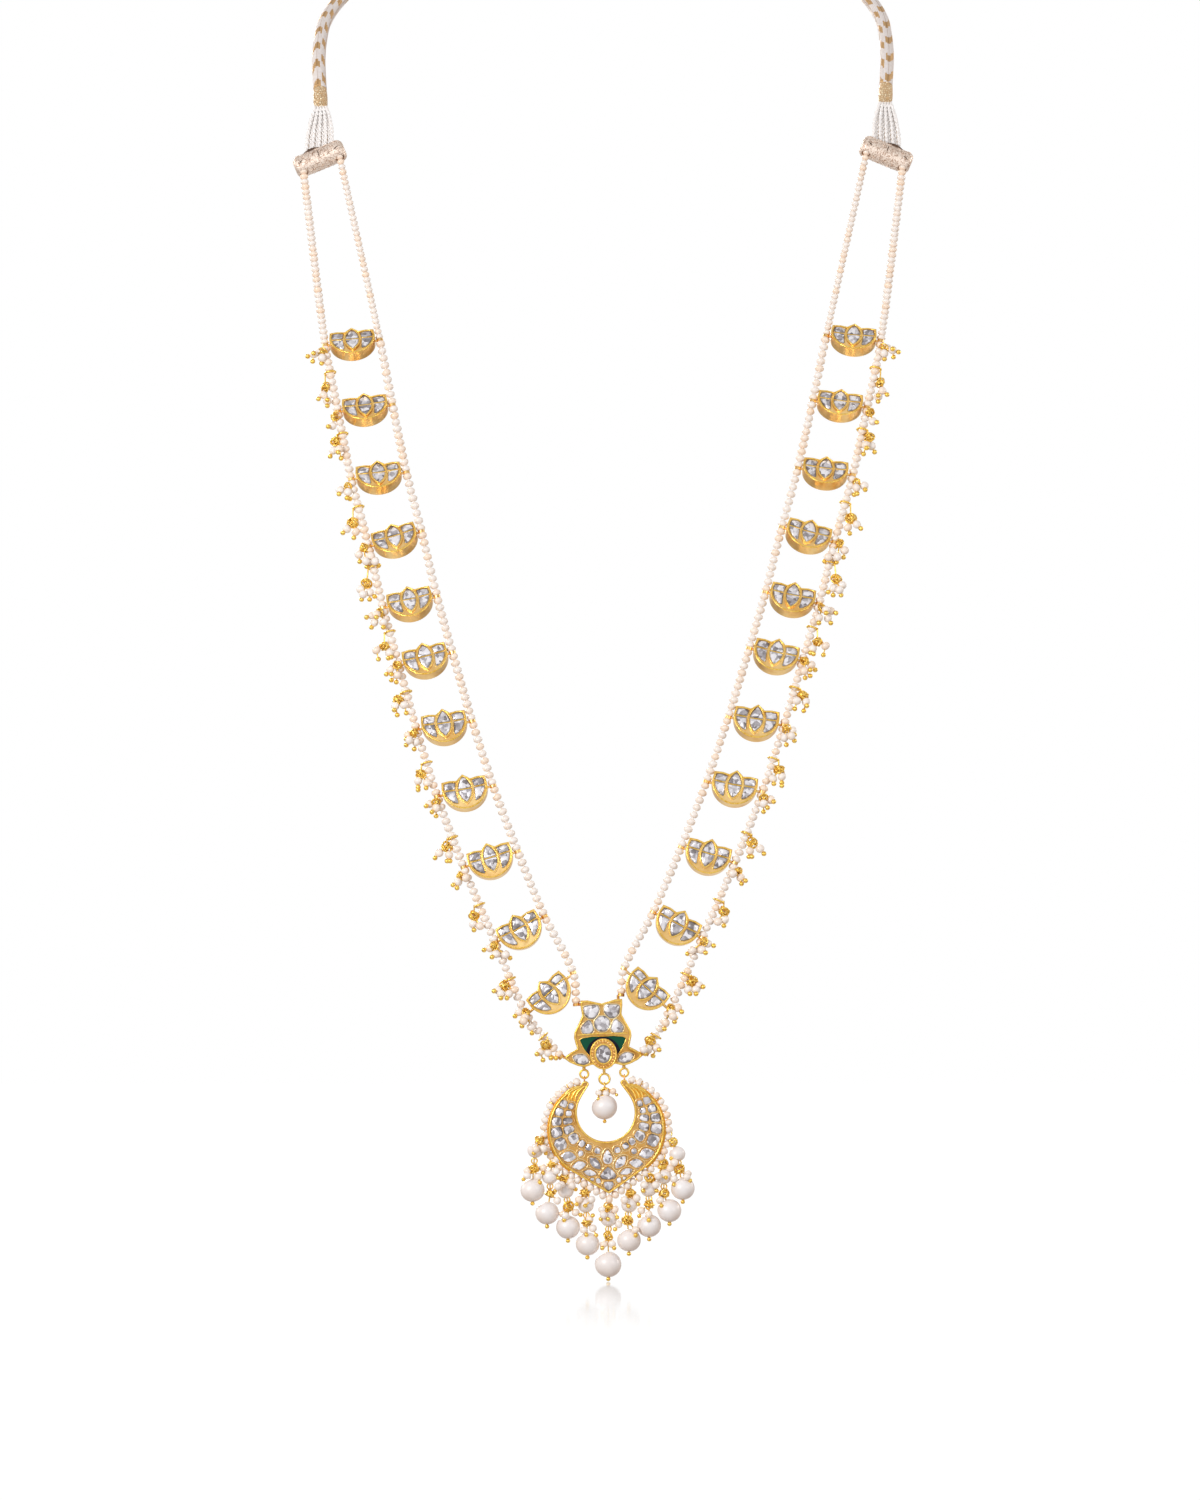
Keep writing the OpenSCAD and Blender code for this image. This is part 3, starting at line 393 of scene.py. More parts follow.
def swept(name, path, radii, sides, tint=None):   # a capped tube with a UV map "run" in mm
    side = None
    points, faces, uvs, lengths = [], [], [], [0.0]
    for i, p in enumerate(path):
        if i:
            lengths.append(lengths[-1] + (p - path[i - 1]).length)
        way = heading(path, i)
        if side is None:
            side = Vector((0, 1, 0)) - way * way.y
        side = (side - way * side.dot(way)).normalized()
        other = way.cross(side)
        radius = radii[i] if isinstance(radii, list) else radii
        wide, thick = radius if isinstance(radius, tuple) else (radius, radius)
        for k in range(sides):
            a = 2 * math.pi * k / sides
            points.append(p + math.cos(a) * thick * side + math.sin(a) * wide * other)
    last = (len(path) - 1) * sides
    for i in range(len(path) - 1):
        for k in range(sides):
            m = (k + 1) % sides
            faces.append((i * sides + k, i * sides + m, (i + 1) * sides + m, (i + 1) * sides + k))
            uvs += [(k / sides, lengths[i]), ((k + 1) / sides, lengths[i]),
                    ((k + 1) / sides, lengths[i + 1]), (k / sides, lengths[i + 1])]
    faces += [tuple(range(sides - 1, -1, -1)), tuple(last + k for k in range(sides))]
    uvs += [(0.5, 0.0)] * sides + [(0.5, lengths[-1])] * sides
    mesh = meshOf(name, points, (), faces, None if tint is None else {"tint": [float(tint)] * len(points)})
    layer = mesh.uv_layers.new(name="run")
    for item, uv in zip(layer.data, uvs):
        item.uv = uv
    mesh.polygons.foreach_set("use_smooth", [True] * len(mesh.polygons))
    return mesh


def joined(name, meshes):   # several meshes, with their attributes and materials, as one
    holders = []
    for mesh in meshes:
        holder = bpy.data.objects.new(name, mesh)
        bpy.context.collection.objects.link(holder)
        holders.append(holder)
    with bpy.context.temp_override(active_object=holders[0], selected_editable_objects=holders):
        bpy.ops.object.join()
    mesh = holders[0].data
    bpy.data.objects.remove(holders[0])
    return mesh


def piece(name, mesh, body, stands=(), material=None):
    made = bpy.data.objects.new(name, mesh)
    bpy.context.collection.objects.link(made)
    if material:
        mesh.materials.clear()
        mesh.materials.append(material)
    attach(made, body)
    if stands:
        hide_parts(*stands)
    return made


def newTree(name, sockets):
    tree = bpy.data.node_groups.new(name, "GeometryNodeTree")
    tree.interface.new_socket("Geometry", in_out="INPUT", socket_type="NodeSocketGeometry")
    for label, kind in sockets:
        tree.interface.new_socket(label, in_out="INPUT", socket_type="NodeSocket" + kind)
    tree.interface.new_socket("Geometry", in_out="OUTPUT", socket_type="NodeSocketGeometry")
    start = tree.nodes.new("NodeGroupInput")
    return tree, {s.name: Feed(tree, s) for s in start.outputs if s.name}


def finishTree(tree, geometry, material):
    plain = addNode(tree, "GeometryNodeRealizeInstances", {0: geometry})
    smooth = addNode(tree, "GeometryNodeSetShadeSmooth", {0: plain})
    painted = addNode(tree, "GeometryNodeSetMaterial", {0: smooth, 2: material})
    addNode(tree, "NodeGroupOutput", {0: painted})


def combined(tree, x, y, z):
    return addNode(tree, "ShaderNodeCombineXYZ", {0: x, 1: y, 2: z})


def shaken(tree, low, high, seedValue, kind="FLOAT_VECTOR"):
    first = {"FLOAT_VECTOR": 0, "FLOAT": 2}[kind]
    return addNode(tree, "FunctionNodeRandomValue", {first: low, first + 1: high, 8: seedValue}, first // 2,
                   data_type=kind)


def beadsOn(tree, points, bead, turn, size, seedValue):   # a bead on each point, with its own tint
    spread = addNode(tree, "GeometryNodeInstanceOnPoints", {0: points, 2: bead, 5: turn, 6: size})
    tint = shaken(tree, 0.0, 1.0, seedValue + 3, "FLOAT")
    return addNode(tree, "GeometryNodeStoreNamedAttribute", {0: spread, 2: "tint", 3: tint}, data_type="FLOAT",
                   domain="INSTANCE")


def tumbled(tree, low, high, seedValue):   # a random turn for each bead
    return addNode(tree, "FunctionNodeEulerToRotation", {0: shaken(tree, low, high, seedValue)})


def pointing(tree, axis, way=None):   # the turn that lays an axis along a way, or else along the curve
    way = way or addNode(tree, "GeometryNodeInputTangent")
    return addNode(tree, "FunctionNodeAlignRotationToVector", {2: way}, axis=axis)


def turnedBy(tree, turn, more):
    return addNode(tree, "FunctionNodeRotateRotation", {0: turn, 1: more}, rotation_space="LOCAL")


def carried(tree, name, kind="FLOAT"):   # a value that the points bring with them
    return addNode(tree, "GeometryNodeInputNamedAttribute", {0: name}, data_type=kind)


def ballOf(tree, segments, rings, radius=0.5):
    return addNode(tree, "GeometryNodeMeshUVSphere", {0: segments, 1: rings, 2: radius})


def circleOf(tree, sides, radius):
    return addNode(tree, "GeometryNodeCurvePrimitiveCircle", {0: sides, 4: radius})


def resized(tree, shape, x, y, z):
    return addNode(tree, "GeometryNodeTransform", {0: shape, 3: combined(tree, x, y, z)})


# beads strung close together along bare edges
threaded, feeds = newTree("threadedBeads", [("Pitch", "Float"), ("Width", "Float"), ("Length", "Float"),
                                            ("Unevenness", "Float"), ("Seed", "Int"), ("Material", "Material")])
line = addNode(threaded, "GeometryNodeMeshToCurve", {0: feeds["Geometry"]})
line = addNode(threaded, "GeometryNodeResampleCurve", {0: line, 3: feeds["Pitch"]}, mode="LENGTH")
bead = resized(threaded, ballOf(threaded, 10, 7), feeds["Width"], feeds["Width"], feeds["Length"])
tilt = tumbled(threaded, (-0.16, -0.16, 0.0), (0.16, 0.16, 6.28), feeds["Seed"])
turn = turnedBy(threaded, pointing(threaded, "Z"), tilt)
low, high = 1.0 - feeds["Unevenness"], 1.0 + feeds["Unevenness"]
size = shaken(threaded, combined(threaded, low, low, low), combined(threaded, high, high, 1.0), feeds["Seed"] + 7)
finishTree(threaded, beadsOn(threaded, line, bead, turn, size, feeds["Seed"]), feeds["Material"])

# single beads on points, which carry their own diameter as "size"
scattered, feeds = newTree("scatteredBeads", [("Segments", "Int"), ("Rings", "Int"), ("Flatness", "Float"),
                                              ("Seed", "Int"), ("Material", "Material")])
bead = resized(scattered, ballOf(scattered, feeds["Segments"], feeds["Rings"]), 1.0, 1.0, feeds["Flatness"])
turn = tumbled(scattered, (-1.2, -1.2, 0.0), (1.2, 1.2, 6.28), feeds["Seed"])
many = beadsOn(scattered, feeds["Geometry"], bead, turn, carried(scattered, "size"), feeds["Seed"])
finishTree(scattered, many, feeds["Material"])

# round wire along bare edges, open or closed
wired, feeds = newTree("roundWire", [("Radius", "Float"), ("Sides", "Int"), ("Material", "Material")])
line = addNode(wired, "GeometryNodeMeshToCurve", {0: feeds["Geometry"]})
around = circleOf(wired, feeds["Sides"], feeds["Radius"])
finishTree(wired, addNode(wired, "GeometryNodeCurveToMesh", {0: line, 1: around, 3: True}), feeds["Material"])

# knots of wound wire: crossing rings on each point, as wide as its "size"
knotted, feeds = newTree("woundKnots", [("Wire", "Float"), ("Turns", "Int"), ("Seed", "Int"),
                                        ("Material", "Material")])
many = addNode(knotted, "GeometryNodeDuplicateElements", {0: feeds["Geometry"], 2: feeds["Turns"]}, domain="POINT")
ring = addNode(knotted, "GeometryNodeCurveToMesh",
               {0: circleOf(knotted, 12, 0.46), 1: circleOf(knotted, 5, feeds["Wire"])})
turn = tumbled(knotted, (-1.3, -1.3, -3.1), (1.3, 1.3, 3.1), feeds["Seed"])
size = carried(knotted, "size") * shaken(knotted, 0.55, 1.15, feeds["Seed"] + 5, "FLOAT")
finishTree(knotted, beadsOn(knotted, many, ring, turn, size, feeds["Seed"]), feeds["Material"])

# small chased flowers: a boss and petals round it, turned to face along "face"
petal = {"width": 0.42, "length": 0.72, "height": 0.2, "boss": 0.2}
flowered, feeds = newTree("chasedFlowers", [("Petals", "Int"), ("Reach", "Float"), ("Seed", "Int"),
                                            ("Material", "Material")])
whorl = circleOf(flowered, feeds["Petals"], feeds["Reach"])
leaf = resized(flowered, ballOf(flowered, 6, 4), petal["width"] * mm, petal["length"] * mm, petal["height"] * mm)
petals = addNode(flowered, "GeometryNodeInstanceOnPoints", {0: whorl, 2: leaf, 5: pointing(flowered, "X")})
flower = flowered.nodes.new("GeometryNodeJoinGeometry")
for part in (petals, ballOf(flowered, 6, 4, petal["boss"] * mm)):
    flowered.links.new(part.socket, flower.inputs[0])
spin = tumbled(flowered, (0.0, 0.0, 0.0), (0.0, 0.0, 6.28), feeds["Seed"])
turn = turnedBy(flowered, pointing(flowered, "Z", carried(flowered, "face", "FLOAT_VECTOR")), spin)
flower = Feed(flowered, flower.outputs[0])
spread = addNode(flowered, "GeometryNodeInstanceOnPoints", {0: feeds["Geometry"], 2: flower, 5: turn})
finishTree(flowered, spread, feeds["Material"])


def grown(mesh, tree, values):   # the tree's result on a mesh, as a plain mesh
    holder = bpy.data.objects.new("holder", mesh)
    bpy.context.collection.objects.link(holder)
    modifier = holder.modifiers.new("tree", "NODES")
    modifier.node_group = tree
    for item in tree.interface.items_tree:
        if item.in_out == "INPUT" and item.name in values:
            modifier[item.identifier] = values[item.name]
    result = bpy.data.meshes.new_from_object(holder.evaluated_get(bpy.context.evaluated_depsgraph_get()))
    holder.modifiers.remove(modifier)
    bpy.data.objects.remove(holder)
    return result


knotLook = {"wire": 0.07, "turns": 9}


def wire(paths, radius, closed=False, sides=6, material=wireGold):
    return grown(lines(paths, closed), wired, {"Radius": radius * mm, "Sides": sides, "Material": material})


def sized(rows):   # points that carry their own diameter
    return meshOf("beads", [p for p, d in rows], values={"size": [float(d * mm) for p, d in rows]})


def beads(rows, material, segments, rings, flat, seedValue):   # rows of (place, diameter)
    return grown(sized(rows), scattered, {"Segments": segments, "Rings": rings, "Flatness": flat,
                                          "Seed": seedValue, "Material": material})


def goldBalls(rows):
    return beads(rows, wireGold, 10, 7, 1.0, 6)


def seedPearls(rows, seedValue):
    return beads(rows, seed, 12, 8, 0.88, seedValue)


def knots(rows, seedValue):
    return grown(sized(rows), knotted, {"Wire": knotLook["wire"], "Turns": knotLook["turns"], "Seed": seedValue,
                                        "Material": wireGold})


print("the node trees are built")


cord = {"diameter": 4.5, "sides": 28, "steps": 12}
cordHalf = [Vector(p) for p in [
    (-94.5, -97.5, -87.0), (-95.0, -90.5, -77.5), (-94.6, -83.5, -70.5), (-93.2, -76.0, -63.8),
    (-88.8, -66.0, -56.6), (-79.5, -54.0, -47.0), (-66.0, -39.0, -34.0), (-49.0, -23.0, -20.5),
    (-30.0, -9.5, -8.5), (-13.0, -2.0, -0.4)]]
cordStops = cordHalf + [Vector((0, 0, cord["diameter"] / 2))]
cordStops += [Vector((-p.x, p.y, p.z + hang["rise"] * p.x / cordHalf[0].x)) for p in reversed(cordHalf)]
cordPath = course(cordStops, cord["steps"])
cordLength = sum((b - a).length for a, b in zip(cordPath, cordPath[1:]))
neckCord = piece("neck_cord_silk", swept("neck_cord_silk", cordPath, cord["diameter"] / 2, cord["sides"]),
                 "necklace", ["neck_cord"], silk)
cordPath[0] * mm
cordLength * mm
[p * mm for p in cordPath]
print("the neck cord is", round(cordLength), "mm long")


collar = {"top": cordHalf[0], "foot": Vector((-94.2, -103.2, -93.3)), "radius": 2.15, "bulge": 0.22,
          "ridge": 0.05, "rings": 16, "sides": 28}
bar = {"at": Vector((-94.4, -113.0, -110.4)), "lean": 30.0, "roll": 22.5, "length": 17.8, "diameter": 7.4}
# painted shade in the bar's slot and holes: start, end, angle, slant and width of each
barMouthShades = [(-4.6, 1.2, 50, 6, 0.75), (0.2, 0.2, 2, 26, 0.16), (-7.4, -5.6, -8, 6, 0.26), (5.4, 7.2, -8, 6, 0.26)]
mouth = {"steps": 8, "depth": 0.12, "blunt": 0.3}
fan = {"strands": 9, "length": 17.5, "twist": 3.2, "top": (0, -0.3, 0.5), "topHalf": 1.65, "slot": (0.6, 0, 2.3),
       "footHalf": 4.5, "layers": (-0.45, 0.55), "footLayer": 0.8, "bow": (0.9, -0.15, 0.2), "rings": 34,
       "plyAt": 0.3, "plyRadius": 0.372, "plyTints": (0.04, 0.14), "tan": 0.16, "tanAt": (-0.6, -0.1, 0),
       "tanTint": 1.3}
flowers = {"rows": 9, "around": 6, "petals": 5, "reach": 0.5, "margin": 1.3, "turn": 0.3, "lift": 0.03,
           "slot": (0.6, 6.6, 2.6), "holes": (-6.6, 6.4), "holeHalf": 2.2, "holesBelow": -2.2}


def onBar(p, side):
    return placed(bar["at"] + posed(p, bar["lean"], bar["roll"]), side)


def collarMesh(side):
    a, b, n = placed(collar["top"], side), placed(collar["foot"], side), collar["rings"]
    path = [a + (b - a) * (k / n) for k in range(n + 1)]
    radii = [collar["radius"] + collar["bulge"] * math.sin(math.pi * k / n) + collar["ridge"] * (k % 2)
             for k in range(n + 1)]
    return swept("collar", path, radii, collar["sides"])


def fanMesh(side):   # two-ply strands that spread from the collar into the bar's slot
    foot = bar["at"] + posed(fan["slot"], bar["lean"], bar["roll"])
    n, parts = fan["rings"], []
    for strand in range(fan["strands"]):
        t = 2 * strand / (fan["strands"] - 1) - 1
        layer = fan["layers"][strand % 2]
        start = collar["foot"] + posed(Vector(fan["top"]) + Vector((t * fan["topHalf"], layer, 0)), bar["lean"], 0)
        end = foot + posed((t * fan["footHalf"], layer * fan["footLayer"], 0), bar["lean"], bar["roll"])
        bow = Vector((t * fan["bow"][0], *fan["bow"][1:]))
        core = [start.lerp(end, k / n) + bow * math.sin(math.pi * k / n) for k in range(n + 1)]
        for ply, tint in enumerate(fan["plyTints"]):
            path = []
            for k, p in enumerate(core):
                a = 2 * math.pi * (k / n * fan["length"] / fan["twist"]) + math.pi * ply
                path.append(placed(p + Vector((math.cos(a), math.sin(a), 0)) * fan["plyAt"], side))
            parts.append(swept("ply", path, fan["plyRadius"], 6, tint))
        if strand % 2:
            path = [placed(p + Vector(fan["tanAt"]), side) for p in core]
            parts.append(swept("tan", path, fan["tan"], 5, fan["tanTint"]))
    return joined("fan", parts)


def mouthShadesMesh(side):   # painted shade: dark strips for the slots and holes where threads and strings go in
    r, n, blunt, parts = bar["diameter"] / 2, mouth["steps"], mouth["blunt"], []
    for start, end, angle, slant, wide in barMouthShades:
        path, radii = [], []
        for k in range(n + 1):
            a = math.radians(angle + slant * (2 * k / n - 1))
            path.append(onBar((start + (end - start) * k / n, -math.cos(a) * r, math.sin(a) * r), side))
            radii.append((wide * math.sin(math.pi * (k + blunt) / (n + 2 * blunt)), mouth["depth"]))
        parts.append(swept("mouth", path, radii, 8))
    return joined("mouths", parts)


def flowersMesh(side):
    points, faces = [], []
    length = bar["length"] - 2 * flowers["margin"]
    for i in range(flowers["rows"]):
        x = ((i + 0.5) / flowers["rows"] - 0.5) * length
        for j in range(flowers["around"]):
            a = 2 * math.pi * (j + 0.5 * (i % 2)) / flowers["around"] + flowers["turn"]
            out = Vector((0, math.cos(a), math.sin(a)))
            local = Vector((x, 0, 0)) + out * (bar["diameter"] / 2 + flowers["lift"])
            slotX, slotHalf, slotAbove = flowers["slot"]
            atSlot = local.z > slotAbove and abs(x - slotX) < slotHalf
            nearHole = min(abs(x - hole) for hole in flowers["holes"]) < flowers["holeHalf"]
            if atSlot or (nearHole and local.z < flowers["holesBelow"]):
                continue
            points.append(onBar(local, side))
            way = posed(out, bar["lean"], bar["roll"])
            faces.append(Vector((way.x if side == "left" else -way.x, way.y, way.z)))
    return grown(meshOf("flowers", points, values={"face": faces}), flowered,
                 {"Petals": flowers["petals"], "Reach": flowers["reach"] * mm, "Seed": 4, "Material": chased})


for side in ("left", "right"):
    piece(side + "_collar_knit", collarMesh(side), "necklace", [side + "_cord_collar"], goldThread)
    piece(side + "_fan_yarn", fanMesh(side), "necklace", [side + "_thread_fan"], yarn)
    piece(side + "_bar_mouths", mouthShadesMesh(side), "necklace", (), shadowed)
    piece(side + "_bar_flowers", flowersMesh(side), "necklace")
print("the collars, fans and bars are dressed")


# plaques of the left strand: x, y, z, roll, lean and how far out their loops sit
plaques = [
    (-83.1, -145.5, -172.8, 5.5, 45, 9.1), (-78.8, -154.0, -194.7, 7, 43, 9.1), (-74.2, -162.0, -217.2, 7, 41, 9.2),
    (-68.7, -169.0, -238.2, 16, 38, 9.1), (-63.7, -175.0, -259.2, 12, 33, 9.1), (-58.5, -179.5, -278.0, 13.5, 27, 9.1),
    (-52.3, -184.0, -300.0, 8.5, 22, 9.3), (-45.4, -188.0, -321.7, 10.5, 18, 9.4), (-36.9, -191.0, -344.2, 16, 12, 9.3),
    (-27.1, -193.0, -367.3, 28, 7, 9.2), (-17.1, -194.5, -388.4, 42, 4, 10.3)]
string = {"loopZ": 0.6, "outerHole": (-6.6, -1.0, -2.4), "innerHole": (6.4, -1.0, -2.4), "margin": 1.35,
          "topMargin": 0.4, "topPitch": 1.95, "topLength": 2.0, "topWidth": {"outer": 2.85, "inner": 2.5},
          "pitch": 2.36, "width": 2.98, "length": 2.45, "unevenness": 0.07, "thread": 0.3}
pendant = {"at": Vector((0.45, -195.0, -415.5)), "tilt": math.radians(2.3)}
pendantEnds = {("left", "outer"): (-13.9, 0, 7.2), ("right", "outer"): (13.9, 0, 7.2),
               ("left", "inner"): (-8.3, 0, 24.3), ("right", "inner"): (6.6, 0, 26.9)}


def onPendant(p):
    c, s = math.cos(pendant["tilt"]), math.sin(pendant["tilt"])
    return pendant["at"] + Vector((p[0] * c - p[2] * s, p[1], p[0] * s + p[2] * c))


def stringStops(side, which):
    stops = [onBar(string[which + "Hole"], side)]
    for x, y, z, roll, lean, out in plaques:
        reach = -out if which == "outer" else out
        stops.append(placed(Vector((x, y, z)) + posed((reach, 0, string["loopZ"]), lean, roll), side))
    return stops + [onPendant(pendantEnds[side, which])]


def stretch(stops, i):
    length = (stops[i + 1] - stops[i]).length
    a = (string["margin"] if i else string["topMargin"]) / length
    b = 1 - string["margin"] / length
    return [along(stops, i, a + (b - a) * k / 12) for k in range(13)]


def strung(paths, pitch, width, length, seedValue):   # seed pearls along some lines
    return grown(lines(paths), threaded, {"Pitch": pitch * mm, "Width": width * mm, "Length": length * mm,
                                          "Unevenness": string["unevenness"], "Seed": seedValue, "Material": seed})


routes = {}
for side in ("left", "right"):
    for which in ("outer", "inner"):
        stops = stringStops(side, which)
        routes[side, which] = course(stops, 12)
        top = strung([stretch(stops, 0)], string["topPitch"], string["topWidth"][which], string["topLength"], 11)
        rest = strung([stretch(stops, i) for i in range(1, len(stops) - 1)], string["pitch"], string["width"],
                      string["length"], 23)
        thread = wire([routes[side, which]], string["thread"], sides=5, material=yarn)
        piece(f"{side}_{which}_seed_pearls", joined("string", [top, rest, thread]), "necklace",
              [f"{side}_{which}_string"])
print("the strings are threaded")


def frameOf(side, plaque):   # where a plaque's own axes lie
    x, y, z, roll, lean = plaque[:5]
    axes = [posed(unit, lean, roll) for unit in ((1, 0, 0), (0, 1, 0), (0, 0, 1))]
    if side == "right":
        axes = [Vector((-a.x, a.y, a.z)) for a in axes]
    return placed((x, y, z), side), axes


def laid(origin, axes, points, y):   # flat points put on a face
    return [origin + axes[0] * u + axes[1] * y + axes[2] * v for u, v in points]


pendantFrame = (pendant["at"], [Vector((math.cos(pendant["tilt"]), 0, math.sin(pendant["tilt"]))), Vector((0, 1, 0)),
                                Vector((-math.sin(pendant["tilt"]), 0, math.cos(pendant["tilt"])))])


def onFace(points, y):   # flat points put on the pendant
    return laid(*pendantFrame, points, y)


def bothSides(points):
    return [[(s * u, v) for u, v in points] for s in (-1, 1)]


def looseSolids(name):   # the corners of each loose solid of a carried-over node, in mm
    solid = bmesh.new()
    solid.from_mesh(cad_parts[name].data)
    bmesh.ops.remove_doubles(solid, verts=solid.verts, dist=1e-6)
    found, groups = set(), []
    for start in solid.verts:
        if start in found:
            continue
        found.add(start)
        group, queue = [], [start]
        while queue:
            corner = queue.pop()
            group.append(corner.co / mm)
            for edge in corner.link_edges:
                other = edge.other_vert(corner)
                if other not in found:
                    found.add(other)
                    queue.append(other)
        groups.append(group)
    solid.free()
    return groups


def hull(points):   # the flat outline round some points
    rows = sorted(set((round(u, 3), round(v, 3)) for u, v in points))
    halves = []
    for run in (rows, rows[::-1]):
        line = []
        for p in run:
            while len(line) > 1 and ((line[-1][0] - line[-2][0]) * (p[1] - line[-2][1])
                                     - (line[-1][1] - line[-2][1]) * (p[0] - line[-2][0])) <= 0:
                line.pop()
            line.append(p)
        halves += line[:-1]
    return halves


def widened(outline, out, sharpest=0.6):   # moves each side of an outline outwards
    rows = []
    for k, (bx, by) in enumerate(outline):
        (ax, ay), (cx, cy) = outline[k - 1], outline[(k + 1) % len(outline)]
        a, c = Vector((by - ay, ax - bx)).normalized(), Vector((cy - by, bx - cx)).normalized()
        m = (a + c).normalized()
        reach = out / max(sharpest, m.dot(a))
        rows.append((bx + m.x * reach, by + m.y * reach))
    return rows


def rounded(outline, cut=0.16):   # cuts each corner off a little
    rows = []
    for k, a in enumerate(outline):
        b = outline[(k + 1) % len(outline)]
        rows += [(a[0] + (b[0] - a[0]) * s, a[1] + (b[1] - a[1]) * s) for s in (cut, 1 - cut)]
    return rows


def settings(name, frames, out):   # the outline of every stone of a node, made wider
    rows = []
    for group in looseSolids(name):
        middle = sum(group, Vector()) / len(group)
        origin, axes = min(frames, key=lambda f: (f[0] - middle).length)
        flat = [((p - origin).dot(axes[0]), (p - origin).dot(axes[2])) for p in group]
        rows.append(((origin, axes), widened(hull(flat), out)))
    return rows


def spaced(points, step=0.35):   # a closed outline with a point at every step
    rows = []
    for k, a in enumerate(points):
        b = points[(k + 1) % len(points)]
        n = max(1, round(math.dist(a, b) / step))
        rows += [(a[0] + (b[0] - a[0]) * j / n, a[1] + (b[1] - a[1]) * j / n) for j in range(n)]
    return rows


def nearTo(points):
    tree = kdtree.KDTree(len(points))
    for k, (u, v) in enumerate(points):
        tree.insert((u, v, 0), k)
    tree.balance()
    return lambda p: tree.find((*p, 0))[2]


def filled(rows, rim, gap, most):   # each stone widened until it nearly meets its neighbours and the rim
    outlines = [spaced(rounded(outline)) for f, outline in rows]
    toRim = nearTo(rim)
    result = []
    for k, outline in enumerate(outlines):
        toOthers = nearTo([p for n, other in enumerate(outlines) if n != k for p in other])
        moved = []
        for n, (u, v) in enumerate(outline):
            a, b = outline[n - 2], outline[(n + 2) % len(outline)]
            way = Vector((b[1] - a[1], a[0] - b[0])).normalized()
            out = max(0.0, min(most, (toOthers((u, v)) - gap) / 2, toRim((u, v)) - gap))
            moved.append((u + way.x * out, v + way.y * out))
        result.append((rows[k][0], hull(moved)))
    return result


def bezels(rows, y, out):   # a line for the wire round every stone
    return [laid(*f, rounded(widened(outline, out)), y) for f, outline in rows]


def cutStones(rows, y, rise, seedValue):   # low crowns of a few uneven facets
    # for each level: least and most reach, depth, its unevenness, and one point taken of so many
    levels = [(1.0, 1.0, y + 0.3, 0, 1), (1.0, 1.0, y, 0, 1), (0.68, 0.88, y - rise * 0.75, 0.1, 2),
              (0.15, 0.5, y - rise, 0.05, 5)]
    pattern = random.Random(seedValue)
    points, faces, girdleShade = [], [], []
    for (origin, axes), outline in rows:
        outline = spaced(outline, 1.1)
        cx, cy = [sum(p[k] for p in outline) / len(outline) for k in (0, 1)]
        crown = bmesh.new()
        for low, high, depth, uneven, skip in levels:
            for u, v in outline[pattern.randrange(skip)::skip]:
                share = pattern.uniform(low, high)
                out = depth + pattern.uniform(-uneven, uneven)
                u, v = cx + (u - cx) * share, cy + (v - cy) * share
                crown.verts.new(origin + axes[0] * u + axes[1] * out + axes[2] * v)
        bmesh.ops.convex_hull(crown, input=crown.verts)
        bmesh.ops.delete(crown, geom=[c for c in crown.verts if not c.link_faces], context="VERTS")
        bmesh.ops.dissolve_limit(crown, angle_limit=0.05, verts=crown.verts, edges=crown.edges)
        bmesh.ops.recalc_face_normals(crown, faces=crown.faces)
        crown.verts.index_update()
        faces += [tuple(len(points) + c.index for c in f.verts) for f in crown.faces]
        points += [c.co.copy() for c in crown.verts]
        # the edge attribute marks the girdle for its painted shade
        girdleShade += [1.0 if (c.co - origin).dot(axes[1]) > y - 0.02 else 0.0 for c in crown.verts]
        crown.free()
    return meshOf("gems", points, (), faces, {"edge": girdleShade})


plaqueTrim = {"bowl": 7.6, "bowlZ": 1.6, "petalZ": 0.75, "petalTip": 5.2, "petalHalf": 2.85, "inset": 0.3,
              "petalInset": 0.5, "split": (0.82, 1.12), "splitHalf": 2.3, "face": -1.9, "girdle": -1.5, "crown": 0.42,
              "bezel": 0.12, "rim": 0.3, "petalRim": 0.24}
sideCells = [[(3.15, 1.35), (6.8, 1.5), (6.85, 2.6), (6.55, 3.65), (4.5, 3.9), (2.65, 3.55), (2.98, 2.4)],
             [(2.75, -3.3), (3.15, -3.7), (4.4, -3.15), (5.7, -1.85), (6.5, -0.3), (6.72, 1.1), (3.15, 0.95)]]


def petalPoints(inset, steps=10):   # the middle petal, from its lower tip round
    half, tip = plaqueTrim["petalHalf"], plaqueTrim["petalTip"]
    r = (tip * tip + half * half) / (2 * half)
    top = math.sqrt((r - inset) ** 2 - (r - half) ** 2)
    side = []
    for k in range(steps + 1):
        v = -top + 2 * top * k / steps
        side.append((math.sqrt(max(0.0, (r - inset) ** 2 - v * v)) - (r - half), v + plaqueTrim["petalZ"]))
    return side + [(-u, v) for u, v in side[-2:0:-1]]


def lotusPoints(inset):   # the whole plaque, from the left end of the bowl round below
    r, z = plaqueTrim["bowl"] - inset, plaqueTrim["bowlZ"]
    rows = [(r * math.cos(a), z + r * math.sin(a)) for a in [math.pi + math.pi * k / 26 for k in range(27)]]
    rows += [(7.3 - inset, 4.3 - inset), (4.6, 4.5 - inset), (2.3, 4.1 - inset), (1.5, 4.75 - inset),
             (0.8, 5.3 - inset), (0, 5.9 - inset)]
    return rows + [(-u, v) for u, v in rows[-2:-6:-1]] + [(-(7.3 - inset), 4.3 - inset)]


